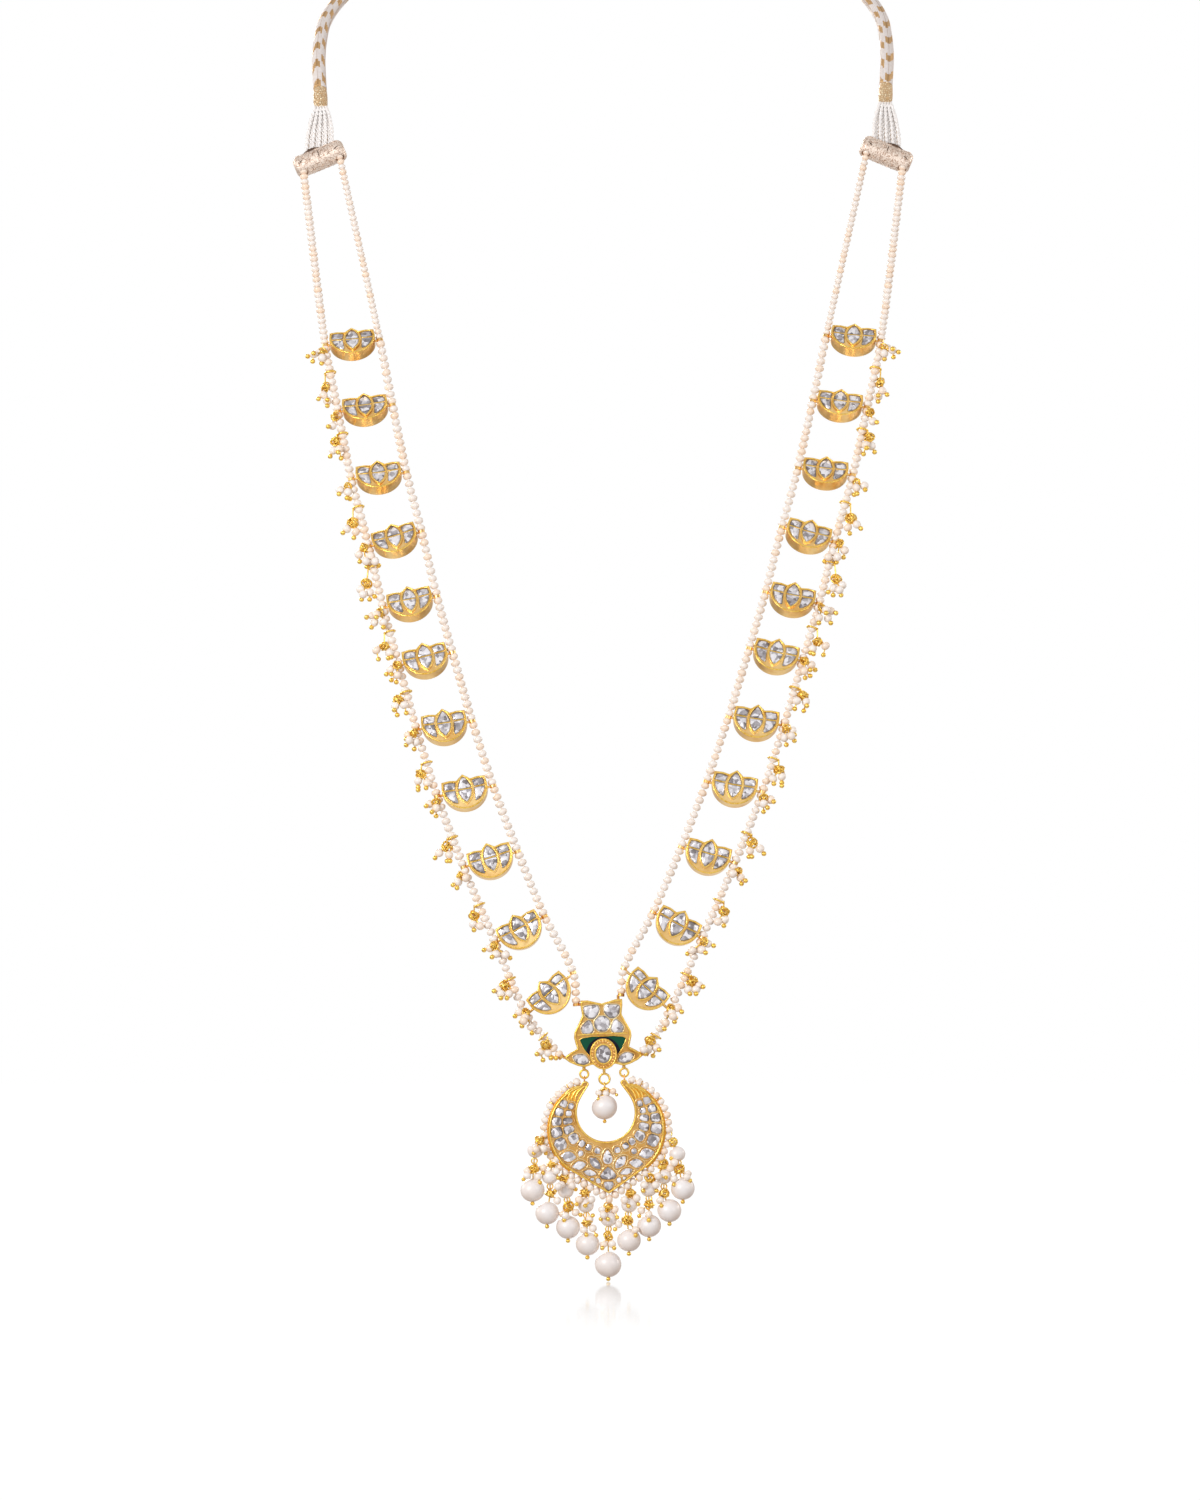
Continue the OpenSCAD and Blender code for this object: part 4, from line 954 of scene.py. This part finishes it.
trim = plaqueTrim
inner, lowCut, highCut = petalPoints(trim["petalInset"]), *trim["split"]
plaqueCells = [[p for p in inner if p[1] > highCut] + [(s * trim["splitHalf"], highCut) for s in (1, -1)],
               [p for p in inner if p[1] < lowCut] + [(s * trim["splitHalf"], lowCut) for s in (1, -1)]]
plaqueCells += [[(s * u, v) for u, v in cell] for s in (-1, 1) for cell in sideCells]
for side in ("left", "right"):
    frames = [frameOf(side, p) for p in plaques]
    edge = [laid(*f, lotusPoints(trim["inset"]), trim["face"] + 0.08) for f in frames]
    middles = [laid(*f, petalPoints(trim["inset"]), trim["face"] + 0.1) for f in frames]
    rows = [(f, hull(cell)) for f in frames for cell in plaqueCells]
    wires = [wire(edge, trim["rim"], True), wire(middles, trim["petalRim"], True),
             wire(bezels(rows, trim["girdle"] + 0.05, 0.06), trim["bezel"], True)]
    piece(side + "_plaque_gems", cutStones(rows, trim["girdle"], trim["crown"], 7), "necklace",
          [side + "_plaque_stones"], foiled)
    piece(side + "_plaque_trim", joined("trim", wires), "necklace")
print("the plaques are trimmed")

topTrim = {"face": -1.8, "rim": 0.36, "bezel": 0.18, "line": 0.3, "gap": 0.26, "grown": 0.45, "crown": 0.5,
           "ovalAt": (0.0, 7.7), "stone": (2.72, 3.22), "band": (3.62, 4.25), "edge": (4.2, 4.85), "ovalFace": -3.2,
           "ovalWire": 0.3, "ovalCrown": 0.7, "granule": 0.95, "granules": 24, "enamelFace": -1.4, "enamelWire": 0.2}
topHalf = [(0, 24.4), (2.4, 25.0), (4.6, 25.6), (6.9, 25.6), (6.9, 23.6), (6.5, 20.6), (7.9, 17.8), (9.3, 15.2),
           (9.5, 13.4), (9.0, 11.2), (8.6, 9.8), (10.8, 8.6), (13.2, 6.9), (11.2, 5.3), (8.6, 4.1), (6.4, 3.6),
           (3.6, 4.4), (0, 2.3)]
enamelHalf = [(0, 13.6), (3.5, 13.7), (6.8, 13.3), (7.7, 12.7), (7.3, 11.3), (6.3, 9.3), (4.7, 7.2)]
parting = [(-8.3, 14.0), (8.3, 14.0)]   # the bar over the enamel
partingWire = [(-8.3, 14.25), (-4, 14.4), (0, 14.45), (4, 14.4), (8.3, 14.25)]


def arcPoints(centre, radius, start, end, steps):
    turns = [math.radians(start + (end - start) * k / steps) for k in range(steps + 1)]
    return [(centre[0] + radius * math.cos(a), centre[1] + radius * math.sin(a)) for a in turns]


def oval(half, count):
    turns = [2 * math.pi * k / count for k in range(count)]
    return [(topTrim["ovalAt"][0] + half[0] * math.cos(a), topTrim["ovalAt"][1] + half[1] * math.sin(a)) for a in turns]


def offOval(row):   # least for the oval stone
    us, vs = zip(*row[1])
    return abs(sum(vs) / len(vs) - topTrim["ovalAt"][1]) + abs(sum(us))


face, ovalFace = topTrim["face"], topTrim["ovalFace"]
outline = [(-u, v) for u, v in topHalf[:0:-1]] + topHalf[:-1]   # against the clock, seen from behind
outline = widened(outline[::-1], -topTrim["rim"])
rows = sorted(settings("pendant_top_stones", [pendantFrame], 0.1), key=offOval)[1:]
rows = filled(rows, spaced(outline) + spaced(parting) + oval(topTrim["edge"], 60), topTrim["gap"], topTrim["grown"])
gems = [cutStones(rows, face + 0.05, topTrim["crown"], 3),
        cutStones([(pendantFrame, oval(topTrim["stone"], 16))], ovalFace + 0.05, topTrim["ovalCrown"], 12)]
piece("pendant_top_gems", joined("gems", gems), "necklace", ["pendant_top_stones"], foiled)
granules = [(p, topTrim["granule"]) for p in onFace(oval(topTrim["band"], topTrim["granules"]), ovalFace + 0.08)]
wires = [wire([onFace(rounded(outline), face + 0.05)], topTrim["rim"], True),
         wire(bezels(rows, face + 0.02, 0.08), topTrim["bezel"], True, material=litRidgeGold),
         wire([onFace(oval(topTrim["stone"], 28), ovalFace + 0.02)], topTrim["ovalWire"], True),
         wire([onFace(oval(topTrim["edge"], 32), ovalFace + 0.12)], topTrim["ovalWire"], True),
         wire([onFace(partingWire, face - 0.02)], topTrim["line"]),
         wire([onFace(line, topTrim["enamelFace"]) for line in bothSides(enamelHalf)], topTrim["enamelWire"]),
         beads(granules, gold, 8, 5, 0.9, 5)]
piece("pendant_top_trim", joined("trim", wires), "necklace")

hangers = {"spread": 6.6, "side": 1.35, "middle": 1.7, "middleZ": -0.55, "wire": 0.37, "sideStem": 0.53,
           "middleStem": 0.48}
apart, eye = hangers["spread"], hangers["side"]
loops = [onFace(arcPoints((x, z), r, 0, 345, 23), 0)
         for x, z, r in ((-apart, eye, eye), (apart, eye, eye), (0, hangers["middleZ"], hangers["middle"]))]
sideStems = [onFace([(s * apart, 2 * eye + 0.1), (s * apart, 4.5)], 0) for s in (-1, 1)]
middleStem = onFace([(0, hangers["middleZ"] + hangers["middle"] + 0.1), (0, 3.1)], 0)
wires = [wire(loops, hangers["wire"], True, 8), wire(sideStems, hangers["sideStem"], sides=8),
         wire([middleStem], hangers["middleStem"], sides=8)]
piece("pendant_hangers", joined("hangers", wires), "necklace")

crescent = {"arc": (3.3, -17.4), "radius": 15.8, "point": -38.5, "slope": 0.835, "horn": (6.4, -2.1),
            "hornRadius": 1.15, "opening": -11.65, "openingRadius": 9.5, "face": -1.8, "field": -1.35, "inset": 0.36,
            "rim": 0.34, "wall": 0.42, "bezel": 0.2, "ribs": 4, "rib": 0.4, "grooveShade": 0.2, "gap": 0.4, "grown": 0.5,
            "crown": 0.45}
arc, radius, point, opening = [crescent[key] for key in ("arc", "radius", "point", "opening")]
face, field, inset = [crescent[key] for key in ("face", "field", "inset")]
tangentTurn = math.acos(radius / math.hypot(arc[0], point - arc[1]))
arcEnd = math.degrees(math.atan2(point - arc[1], -arc[0]) + tangentTurn)
half = [(0, point + inset / crescent["slope"])]
half += arcPoints(arc, radius - inset, arcEnd, 73, 30)
half += arcPoints(crescent["horn"], crescent["hornRadius"] - 0.3, 30, 200, 8)
half += arcPoints((0, opening), crescent["openingRadius"] + inset, 31, -90, 26)
# where the curved ribs of a horn begin, and how much the last differs: reach and turn of tip and foot, then the bulge
ribCourse = [(11.0, 0.7), (53, -2), (10.3, 4.6), (22.5, -2.5), (1.0, 2.0), (0.5, 1.5)]
# the wires between the ribs are painted shade of the grooves
ribs, grooveShades = [], []
for s in (-1, 1):
    for k in range(2 * crescent["ribs"] - 1):
        t = (k + 1.0) / crescent["ribs"] / 2
        near, high, far, low, out, up = [first + more * t for first, more in ribCourse]
        tip, foot = [(s * reach * math.cos(a), opening + reach * math.sin(a))
                     for reach, a in ((near, math.radians(high)), (far, math.radians(low)))]
        belly = ((tip[0] + foot[0]) / 2 + s * out, (tip[1] + foot[1]) / 2 + up)
        curve = [[tip[i] * (1 - u) ** 2 + 2 * belly[i] * u * (1 - u) + foot[i] * u * u for i in (0, 1)]
                 for u in [n / 8 for n in range(9)]]
        (grooveShades if k % 2 else ribs).append(onFace(curve, field - 0.1))
rows = settings("crescent_stones", [pendantFrame], 0.05)
rows = filled(rows, spaced(half + [(-u, v) for u, v in half[:0:-1]]), crescent["gap"], crescent["grown"])
piece("crescent_gems", cutStones(rows, field - 0.05, crescent["crown"], 21), "crescent_body",
      ["crescent_stones"], foiled)
# painted shade: a wire of shaded gold for the outer wall where it lies in shade
wall = [onFace(line, face + 1.0) for line in bothSides(arcPoints(arc, radius + 0.2, arcEnd + 2, 66, 26))]
piece("crescent_wall_painted_shade", wire(wall, crescent["wall"], material=shadedGold), "crescent_body")
wires = [wire([onFace(line, face + 0.06) for line in bothSides(half)], crescent["rim"]), wire(ribs, crescent["rib"]),
         wire(grooveShades, crescent["grooveShade"], material=shadedGold),
         wire(bezels(rows, field - 0.1, 0.18), crescent["bezel"], True, material=litRidgeGold)]
piece("crescent_trim", joined("trim", wires), "crescent_body")
print("the pendant is trimmed")

rimString = {"offset": 1.4, "reach": 53.4, "pitch": 2.42, "width": 2.95, "length": 2.45, "dropPitch": 7.65}
rimRadius = radius + rimString["offset"]
rimFoot = point - rimString["offset"] / crescent["slope"]
tangent = arcPoints(arc, rimRadius, arcEnd, arcEnd, 1)[0]
footLength = math.hypot(tangent[0], tangent[1] - rimFoot)


def rimAt(s):   # a place on the rim's string, s mm from its lowest point
    u = abs(s)
    if u < footLength:
        x, z = u / footLength * tangent[0], rimFoot + u / footLength * (tangent[1] - rimFoot)
    else:
        a = math.radians(arcEnd) + (u - footLength) / rimRadius
        x, z = arc[0] + rimRadius * math.cos(a), arc[1] + rimRadius * math.sin(a)
    return onPendant((math.copysign(x, s), 0, z))


rimPath = [rimAt(rimString["reach"] * (k / 60 - 1)) for k in range(121)]
rimBeads = strung([rimPath], rimString["pitch"], rimString["width"], rimString["length"], 31)
piece("rim_seed_pearls", joined("rim", [rimBeads, wire([rimPath], string["thread"], sides=5)]), "crescent_body",
      ["rim_pearls"])

unevenPearl = {"waves": 4, "tightness": 2.4, "height": 0.008}


def nacre(name, centre, diameter, seedValue, stretch, level=4):   # one slightly uneven pearl
    pattern = random.Random(seedValue)
    waves = [(Vector([pattern.uniform(-1, 1) for k in range(3)]) * unevenPearl["tightness"],
              pattern.uniform(0, 6.28)) for n in range(unevenPearl["waves"])]
    ball = bmesh.new()
    bmesh.ops.create_icosphere(ball, subdivisions=level, radius=0.5)
    for corner in ball.verts:
        way = corner.co.normalized()
        bulge = 1 + unevenPearl["height"] * sum(math.sin(w.dot(way) + shift) for w, shift in waves)
        reach = Vector([way[k] * 0.5 * bulge * diameter * stretch[k] for k in range(3)])
        corner.co = (reach + centre) * mm
    mesh = bpy.data.meshes.new(name)
    ball.to_mesh(mesh)
    ball.free()
    mesh.polygons.foreach_set("use_smooth", [True] * len(mesh.polygons))
    mesh.materials.append(pearl)
    return mesh


def seated(p, radius, others, share=0.9):   # moved towards the front until it only touches what it lies on
    place = Vector(p)
    for centre, r in others:
        flat = math.hypot(place.x - centre.x, place.z - centre.z)
        reach = (r + radius) * share
        if flat < reach and abs(place.y - centre.y) < reach:
            place.y = min(place.y, centre.y - math.sqrt(reach * reach - flat * flat))
    return place


def nearest(p, rows, limit=math.inf):
    best = min(rows, key=lambda q: (q - p).length, default=None)
    return best if best is not None and (best - p).length < limit else None


def cluster(pearlSpots, ballSpots, ends, around, sizes):   # seats pearls, and balls wired through them from a knot
    own, strands = [], []
    for start in pearlSpots:
        own.append(seated(start, sizes["seed"] / 2, around))
        around.append((own[-1], sizes["seed"] / 2))
    for start in ballSpots:
        place = seated(start, sizes["ball"] / 2, around)
        knot = nearest(place, ends)
        through = nearest(place, own, sizes["span"])
        if through is None:
            back = (knot - place).normalized() * sizes["back"] + Vector((0, sizes["sink"], 0))
            through = seated(place + back, sizes["seed"] / 2, around)
            around.append((through, sizes["seed"] / 2))
            own.append(through)
        strands.append([knot, through, place])
    return own, strands


def circle(centre, a, b, radius, count):
    turns = [2 * math.pi * k / count for k in range(count)]
    return [centre + (a * math.cos(t) + b * math.sin(t)) * radius for t in turns]


def eyeRings(rows, radius, facing):   # small rings on points, each lying along its own way
    ways = [(centre, way.normalized()) for centre, way in rows]
    return wire([circle(centre, way.cross(Vector(facing)).normalized(), way, radius, 14) for centre, way in ways],
                dropSizes["eyeWire"], True)


enlarged = {"x": 490, "y": 990, "times": 5.058}   # of the photograph's lower middle, where the drops were placed


def close(cx, cy, y):
    return spot(enlarged["x"] + cx / enlarged["times"], enlarged["y"] + cy / enlarged["times"], y)


dropSizes = {"large": 7.9, "lowest": 8.7, "upper": 5.3, "seed": 2.75, "seedAhead": 0.4, "ball": 1.5, "ballAhead": 0.6,
             "end": 1.5, "tail": 0.5, "knot": 3.5, "knotSeat": 1.0, "wire": 0.24, "eye": 0.95, "eyeWire": 0.26,
             "topEye": 0.12, "lowEye": -0.4, "span": 2.9, "back": 1.75, "sink": 0.2}
# each drop from the left: middles of its two pearls from the swing axis, then seeds and gold balls by the enlargement
drops = [
    ((-22.8, -1.5, -24.1), (-23.7, -0.8, -37.2), (252, 762), (220, 905), [(190, 915), (243, 945)],
     [(222, 825), (282, 825), (170, 957), (253, 973)]),
    ((-18.0, 0, -32.8), (-18.9, 0, -44.8), (315, 880), (305, 1030), [(340, 855), (335, 915), (268, 900), (340, 1065)],
     [(268, 925), (345, 950)]),
    ((-12.8, 0, -37.5), (-12.0, 0, -49.5), (378, 950), (397, 1095), [(360, 985), (408, 970), (368, 1133), (433, 1125)],
     [(330, 1015), (433, 1008), (375, 1163), (458, 1137)]),
    ((-6.1, 0, -42.2), (-5.6, 0, -55.0), (480, 1025), (490, 1175), [(450, 1060), (513, 1060), (475, 1215), (520, 1205)],
     [(482, 1090), (438, 1083), (520, 1140), (487, 1237), (537, 1240)]),
    ((1.4, 0, -46.8), (1.3, 0, -61.7), (600, 1100), (598, 1245), [(568, 1110), (632, 1110), (575, 1285), (617, 1285)],
     [(560, 1158), (597, 1158), (643, 1150), (568, 1305), (628, 1305)]),
    ((8.2, 0, -42.2), (8.1, 0, -53.8), (712, 1030), (695, 1165), [(680, 1062), (742, 1052), (650, 1185), (735, 1213)],
     [(700, 1092), (750, 1083), (633, 1210), (737, 1240)]),
    ((14.6, 0, -37.0), (14.8, 0, -49.0), (810, 950), (805, 1085), [(780, 985), (838, 985), (765, 1115), (803, 1135)],
     [(775, 1015), (843, 1015), (755, 1143), (803, 1163)]),
    ((19.6, 0, -32.8), (21.5, 0, -44.0), (872, 880), (880, 1030), [(912, 900), (850, 940), (860, 1063)],
     [(890, 948), (867, 1090)]),
    ((24.1, 0, -25.3), (25.9, 0, -36.7), (925, 770), (957, 905), [(1000, 930), (930, 955)],
     [(917, 852), (1012, 963), (930, 983)])]
uppers, dropWires, dropKnots, dropSeeds, dropBalls, eyes = [], [], [], [], [], []
for k, (upper, large, knotTop, knotLow, seeds, balls) in enumerate(drops):
    size = dropSizes["lowest"] if k == 4 else dropSizes["large"]
    high, low = pendant["at"] + Vector(upper), pendant["at"] + Vector(large)
    piece(f"pearl_{k + 1}", nacre("pearl", low, size, k, (1.0, 1.0, 0.965)), "crescent_body",
          [f"drop_pearl_{k + 1}"])
    uppers.append(nacre("upper", high, dropSizes["upper"], 40 + k, (1.0, 1.0, 0.94), 3))
    around = [(high, dropSizes["upper"] / 2), (low, size / 2)]
    top = rimAt((k - 4) * rimString["dropPitch"])
    ends = [seated(close(*knotTop, high.y), dropSizes["knotSeat"], around[:1]),
            seated(close(*knotLow, low.y), dropSizes["knotSeat"], around)]
    foot = low + (low - high).normalized() * (size / 2 + dropSizes["tail"])
    foot.x, foot.y = low.x, low.y
    places = [[close(*c, (high if c[1] < knotLow[1] else low).y - ahead) for c in group]
              for group, ahead in ((seeds, dropSizes["seedAhead"]), (balls, dropSizes["ballAhead"]))]
    own, strands = cluster(*places, ends, around, dropSizes)
    dropWires += [[top, ends[0], high], [high, ends[1], low], [low, foot]] + strands
    dropWires += [[nearest(p, ends), p] for p in own]
    dropKnots += [(p, dropSizes["knot"]) for p in ends]
    eyes += [(top + (ends[0] - top) * dropSizes["topEye"], ends[0] - top),
             ((high + ends[1]) / 2 + Vector((0, 0, dropSizes["lowEye"])), ends[1] - high)]
    dropBalls += [(foot, dropSizes["end"])] + [(strand[-1], dropSizes["ball"]) for strand in strands]
    dropSeeds += [(p, dropSizes["seed"]) for p in own]
piece("upper_nacre", joined("uppers", uppers), "crescent_body", ["upper_pearls"])
findings = [wire(dropWires, dropSizes["wire"], sides=5), knots(dropKnots, 3),
            eyeRings(eyes, dropSizes["eye"], (0, -1, 0.05)), goldBalls(dropBalls)]
piece("drop_findings", joined("findings", findings), "crescent_body", ["drop_wires"])
piece("drop_seed_pearls", seedPearls(dropSeeds, 9), "crescent_body")

centreDrop = {"axisZ": -2.25, "pearl": 8.4, "down": 7.6, "wireDown": 1.8, "knotsDown": (2.6, 3.7), "knots": (3.4, 3.0),
              "ahead": 0.6, "seed": 2.3, "seedSeat": 1.1, "ball": 1.15, "ballSeat": 0.6, "end": 1.3, "eye": 1.0,
              "eyeDown": 0.35, "pearls": [(550, 520), (622, 512), (586, 522)], "balls": [(547, 550), (640, 530)]}
axisAt = onPendant((0, 0, centreDrop["axisZ"]))


def below(distance):
    return axisAt - Vector((0, 0, distance))


middle, knotsAt = below(centreDrop["down"]), [below(down) for down in centreDrop["knotsDown"]]
tail = below(centreDrop["down"] + centreDrop["pearl"] / 2 + dropSizes["tail"])
piece("centre_nacre", nacre("pearl", middle, centreDrop["pearl"], 60, (1.02, 1.0, 0.97)), "centre_drop_body",
      ["centre_pearl"])
around = [(middle, centreDrop["pearl"] / 2)]
ahead, knot = middle.y - centreDrop["ahead"], knotsAt[0]
own = [seated(close(*c, ahead), centreDrop["seed"] / 2, around) for c in centreDrop["pearls"]]
around += [(p, centreDrop["seedSeat"]) for p in own]
ends = [seated(close(*c, ahead), centreDrop["ballSeat"], around) for c in centreDrop["balls"]]
centreWires = [[below(centreDrop["wireDown"]), knot, middle], [middle, tail], [knot, own[0], ends[0]],
               [knot, own[1], ends[1]]]
findings = [wire(centreWires, dropSizes["wire"], sides=5), knots(list(zip(knotsAt, centreDrop["knots"])), 8),
            eyeRings([(below(centreDrop["eyeDown"]), Vector((0, 1, 0)))], centreDrop["eye"], (1, 0, 0.05)),
            goldBalls([(tail, centreDrop["end"])] + [(p, centreDrop["ball"]) for p in ends]),
            seedPearls([(p, centreDrop["seed"]) for p in own], 2)]
piece("centre_drop_findings", joined("findings", findings), "centre_drop_body", ["centre_drop_wire"])
print("the pearls hang")

# bunches of the left strand by the photograph's pixels: ring, knot, pearls, gold balls
bunchSizes = {"seed": 2.95, "seedAhead": 0.3, "ball": 1.7, "ballAhead": 0.5, "knot": 3.7, "nearKnot": 3.1,
              "knotSeat": 0.7, "wire": 0.26, "ring": 1.8, "ringWire": 0.35, "ringLean": -0.6, "span": 3.2, "back": 1.9,
              "sink": 0.0, "string": 1.3, "near": 9}
rightSide = {"middle": 603.2, "drift": 0.0072, "from": 343, "lift": 4.3}   # the pixels that mirror the left strand
freeBunches = [
    ((332, 372), (324, 385), [(322, 393), (326, 399)], [(317, 397), (326, 398), (326, 404)]),
    ((340, 432), (335, 440), [(332, 449), (338, 448)], [(329, 455), (337, 451), (340, 457)]),
    ((360, 509), (352, 522), [(346, 528), (355, 531)], [(342, 532), (353, 537)]),
    ((373, 569), (366, 583), [(360, 589), (369, 592)], [(361, 593), (361, 599), (369, 599), (374, 596)]),
    ((391, 633), (384, 646), [(376, 650), (389, 653)], [(378, 659), (388, 658), (391, 657)]),
    ((405, 690), (398, 700), [(395, 706), (404, 705)], [(394, 710), (397, 715), (406, 713)]),
    ((425, 763), (421, 774), [(418, 781), (427, 783)], [(418, 787), (418, 790), (426, 788)]),
    ((451, 836), (447, 847), [(439, 853), (449, 855)], [(435, 858), (447, 861), (450, 861)]),
    ((477, 905), (474, 916), [(473, 924), (480, 926)], [(474, 930)]),
    ((509, 977), (505, 986), [(498, 990), (501, 994), (509, 994)], [(494, 991), (501, 998), (507, 998)]),
    ((549, 1034), (546, 1045), [(540, 1052), (548, 1053)], [(537, 1054), (543, 1060), (551, 1058), (556, 1058)])]
nearBunches = [
    ((321, 350), [(317, 350), (312, 352)], [(306, 354), (312, 351), (311, 359), (320, 361)]),
    ((334, 415), [(331, 424)], [(327, 425)]),
    ((347, 486), [(339, 489), (347, 491)], [(338, 493), (346, 497), (349, 498)]),
    ((363, 547), [(358, 554), (370, 555)], [(359, 561), (366, 566), (378, 565)]),
    ((380, 612), [(371, 615), (376, 614), (383, 622)], [(366, 617), (376, 617), (371, 627), (383, 627)]),
    ((397, 665), [(390, 669), (397, 675)], [(386, 674), (391, 674), (391, 680), (396, 682)]),
    ((414, 733), [(408, 735), (416, 742)], [(406, 739), (406, 745), (414, 749)]),
    ((436, 802), [(429, 804), (436, 808)], [(426, 806), (432, 812), (436, 816)]),
    ((461, 876), [(458, 882), (466, 878)], [(453, 885), (457, 888)]),
    ((494, 946), [(490, 948), (496, 954)], [(484, 950), (492, 957), (510, 958)]),
    ((526, 1013), [(519, 1012), (525, 1017), (531, 1027)], [(515, 1016), (521, 1022), (522, 1026), (532, 1033)])]


def onStrand(px, py, side, ahead=0.0):   # the left strand's pixel, or its partner's, at the string's depth there
    if side == "right":
        px = 2 * (rightSide["middle"] - rightSide["drift"] * (py - rightSide["from"])) - px
        py -= rightSide["lift"]
    p = spot(px, py)
    near = min(routes[side, "outer"], key=lambda q: abs(q.z - p.z))
    return Vector((p.x, near.y - ahead, p.z))


for side in ("left", "right"):
    route = routes[side, "outer"]
    bunchWires, bunchKnots, bunchSeeds, bunchBalls, hoops = [], [], [], [], []
    for bunch in freeBunches + nearBunches:
        knotSpot, pearls, balls = bunch[-3:]
        start = onStrand(*knotSpot, side)
        strand = [(q, bunchSizes["string"]) for q in route if abs(q.z - start.z) < bunchSizes["near"]]
        knot = seated(start, bunchSizes["knotSeat"], strand)
        onRing = len(bunch) == 4
        if onRing:
            start = onStrand(*bunch[0], side)
            i = min(range(1, len(route) - 1), key=lambda n: (route[n] - start).length)
            way = heading(route, i)
            across = way.cross(Vector((0, -1, 0))).normalized()
            hoops.append(circle(route[i], across, way.cross(across), bunchSizes["ring"], 18))
            out = Vector((knot.x - route[i].x, bunchSizes["ringLean"], 0)).normalized()
            bunchWires.append([route[i] + out * bunchSizes["ring"], knot])
        bunchKnots.append((knot, bunchSizes["knot" if onRing else "nearKnot"]))
        pearlSpots = [onStrand(*c, side, bunchSizes["seedAhead"]) for c in pearls]
        ballSpots = [onStrand(*c, side, bunchSizes["ballAhead"]) for c in balls]
        own, strands = cluster(pearlSpots, ballSpots, [knot], strand, bunchSizes)
        bunchWires += [[knot, p] for p in own[:len(pearls)]] + strands
        bunchSeeds += [(p, bunchSizes["seed"]) for p in own]
        bunchBalls += [(line[-1], bunchSizes["ball"]) for line in strands]
    findings = [wire(bunchWires, bunchSizes["wire"], sides=5), wire(hoops, bunchSizes["ringWire"], True),
                knots(bunchKnots, 13), goldBalls(bunchBalls)]
    piece(side + "_bunch_findings", joined("findings", findings), "necklace", [side + "_bunches"])
    piece(side + "_bunch_pearls", seedPearls(bunchSeeds, 17), "necklace")
print("the bunches hang")

finishes = {"stones": foiled, "enamel": enamel, "spacer_bar": chased, "pearl": pearl}
for name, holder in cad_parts.items():
    # the crescent and the pendant top take the darker gold of painted shade
    plain = shadedFieldGold if name in ("crescent", "pendant_top") else gold
    for place in holder.material_slots:
        place.material = next((finish for part, finish in finishes.items() if part in name), plain)


studio = {"walls": [(0.30, (0.80, 0.79, 0.78)), (0.62, (0.34, 0.29, 0.25)), (0.92, (0.60, 0.55, 0.50))],
          "air": [(0.2, (0.30, 0.20, 0.15)), (0.5, (0.49, 0.40, 0.32)), (0.8, (0.62, 0.61, 0.63))],
          "white": (1.0, 1.0, 1.0), "frontCard": 0.985}
# name, place, target, size, power and colour of each lamp
lamps = [("key", (-0.86, -1.32, 0.06), (0, -0.19, -0.3), 0.36, 10.5, (1.0, 0.99, 0.995)),
         ("fill", (0.95, -1.1, 0.0), (0, -0.19, -0.3), 0.4, 2.4, studio["white"]),
         ("back", (-0.4, 1.3, 0.15), (0, -0.1, -0.25), 0.5, 10.0, studio["white"]),
         ("side", (-1.3, 0.35, 0.1), (0, -0.15, -0.25), 0.5, 4.0, studio["white"]),
         ("side", (1.3, 0.35, 0.1), (0, -0.15, -0.25), 0.5, 4.0, studio["white"])]
for name, place, target, size, power, shade in lamps:
    lamp = bpy.data.lights.new(name, "AREA")
    lamp.size, lamp.energy, lamp.color = size, power, shade
    holder = bpy.data.objects.new(name, lamp)
    holder.location = place
    holder.rotation_euler = (Vector(target) - Vector(place)).to_track_quat("-Z", "Y").to_euler()
    bpy.context.collection.objects.link(holder)

world = bpy.data.worlds.new("studio")
world.use_nodes = True
tree = world.node_tree
tree.nodes.clear()
seen, mirrored = [addNode(tree, "ShaderNodeLightPath", out=n) for n in (0, 3)]
across, inward, upward = axesOf(tree, addNode(tree, "ShaderNodeTexCoord", out=0))
room = mixed(tree, inward > studio["frontCard"], ramp(tree, abs(across), studio["walls"]), studio["white"])
soft = ramp(tree, upward * 0.2 - inward * 0.3 + 0.5, studio["air"])   # cool in front and above, warm behind and below
sky = mixed(tree, seen, mixed(tree, mirrored, soft, room), studio["white"])
addNode(tree, "ShaderNodeOutputWorld", {0: addNode(tree, "ShaderNodeBackground", {0: sky, 1: 1.0})})
bpy.context.scene.world = world
bpy.context.scene.view_settings.view_transform = "Standard"

ground = {"gap": 0.1, "size": 9.0, "mirror": 0.5, "glow": 1.04, "fade": (0.22, 0.72)}
far, level = ground["size"] / 2 / mm, min(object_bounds()[0][2], cadBox[0][2]) / mm - ground["gap"]
corners = [(-far, -far, level), (far, -far, level), (far, far, level), (-far, far, level)]
floor = bpy.data.objects.new("floor", meshOf("floor", corners, (), [(0, 1, 2, 3)]))
bpy.context.collection.objects.link(floor)
floor.visible_diffuse = floor.visible_glossy = False   # it shows, but lights nothing from below
material = emptyMaterial("pale_floor")
tree = material.node_tree
glow = addNode(tree, "ShaderNodeEmission", {0: (1, 1, 1, 1), 1: ground["glow"]})
gloss = addNode(tree, "ShaderNodeBsdfGlossy", {"Color": (1, 1, 1, 1), "Roughness": 0.05})
away = distanceFrom(tree, (0, -0.19, level * mm))
clear, faded = ground["fade"]
fade = addNode(tree, "ShaderNodeMapRange", {0: away, 1: faded, 2: clear, 3: 0.0, 4: ground["mirror"]})
both = addNode(tree, "ShaderNodeMixShader", {0: fade, 1: glow, 2: gloss})
addNode(tree, "ShaderNodeOutputMaterial", {0: both})
floor.data.materials.append(material)
print("the studio is lit")
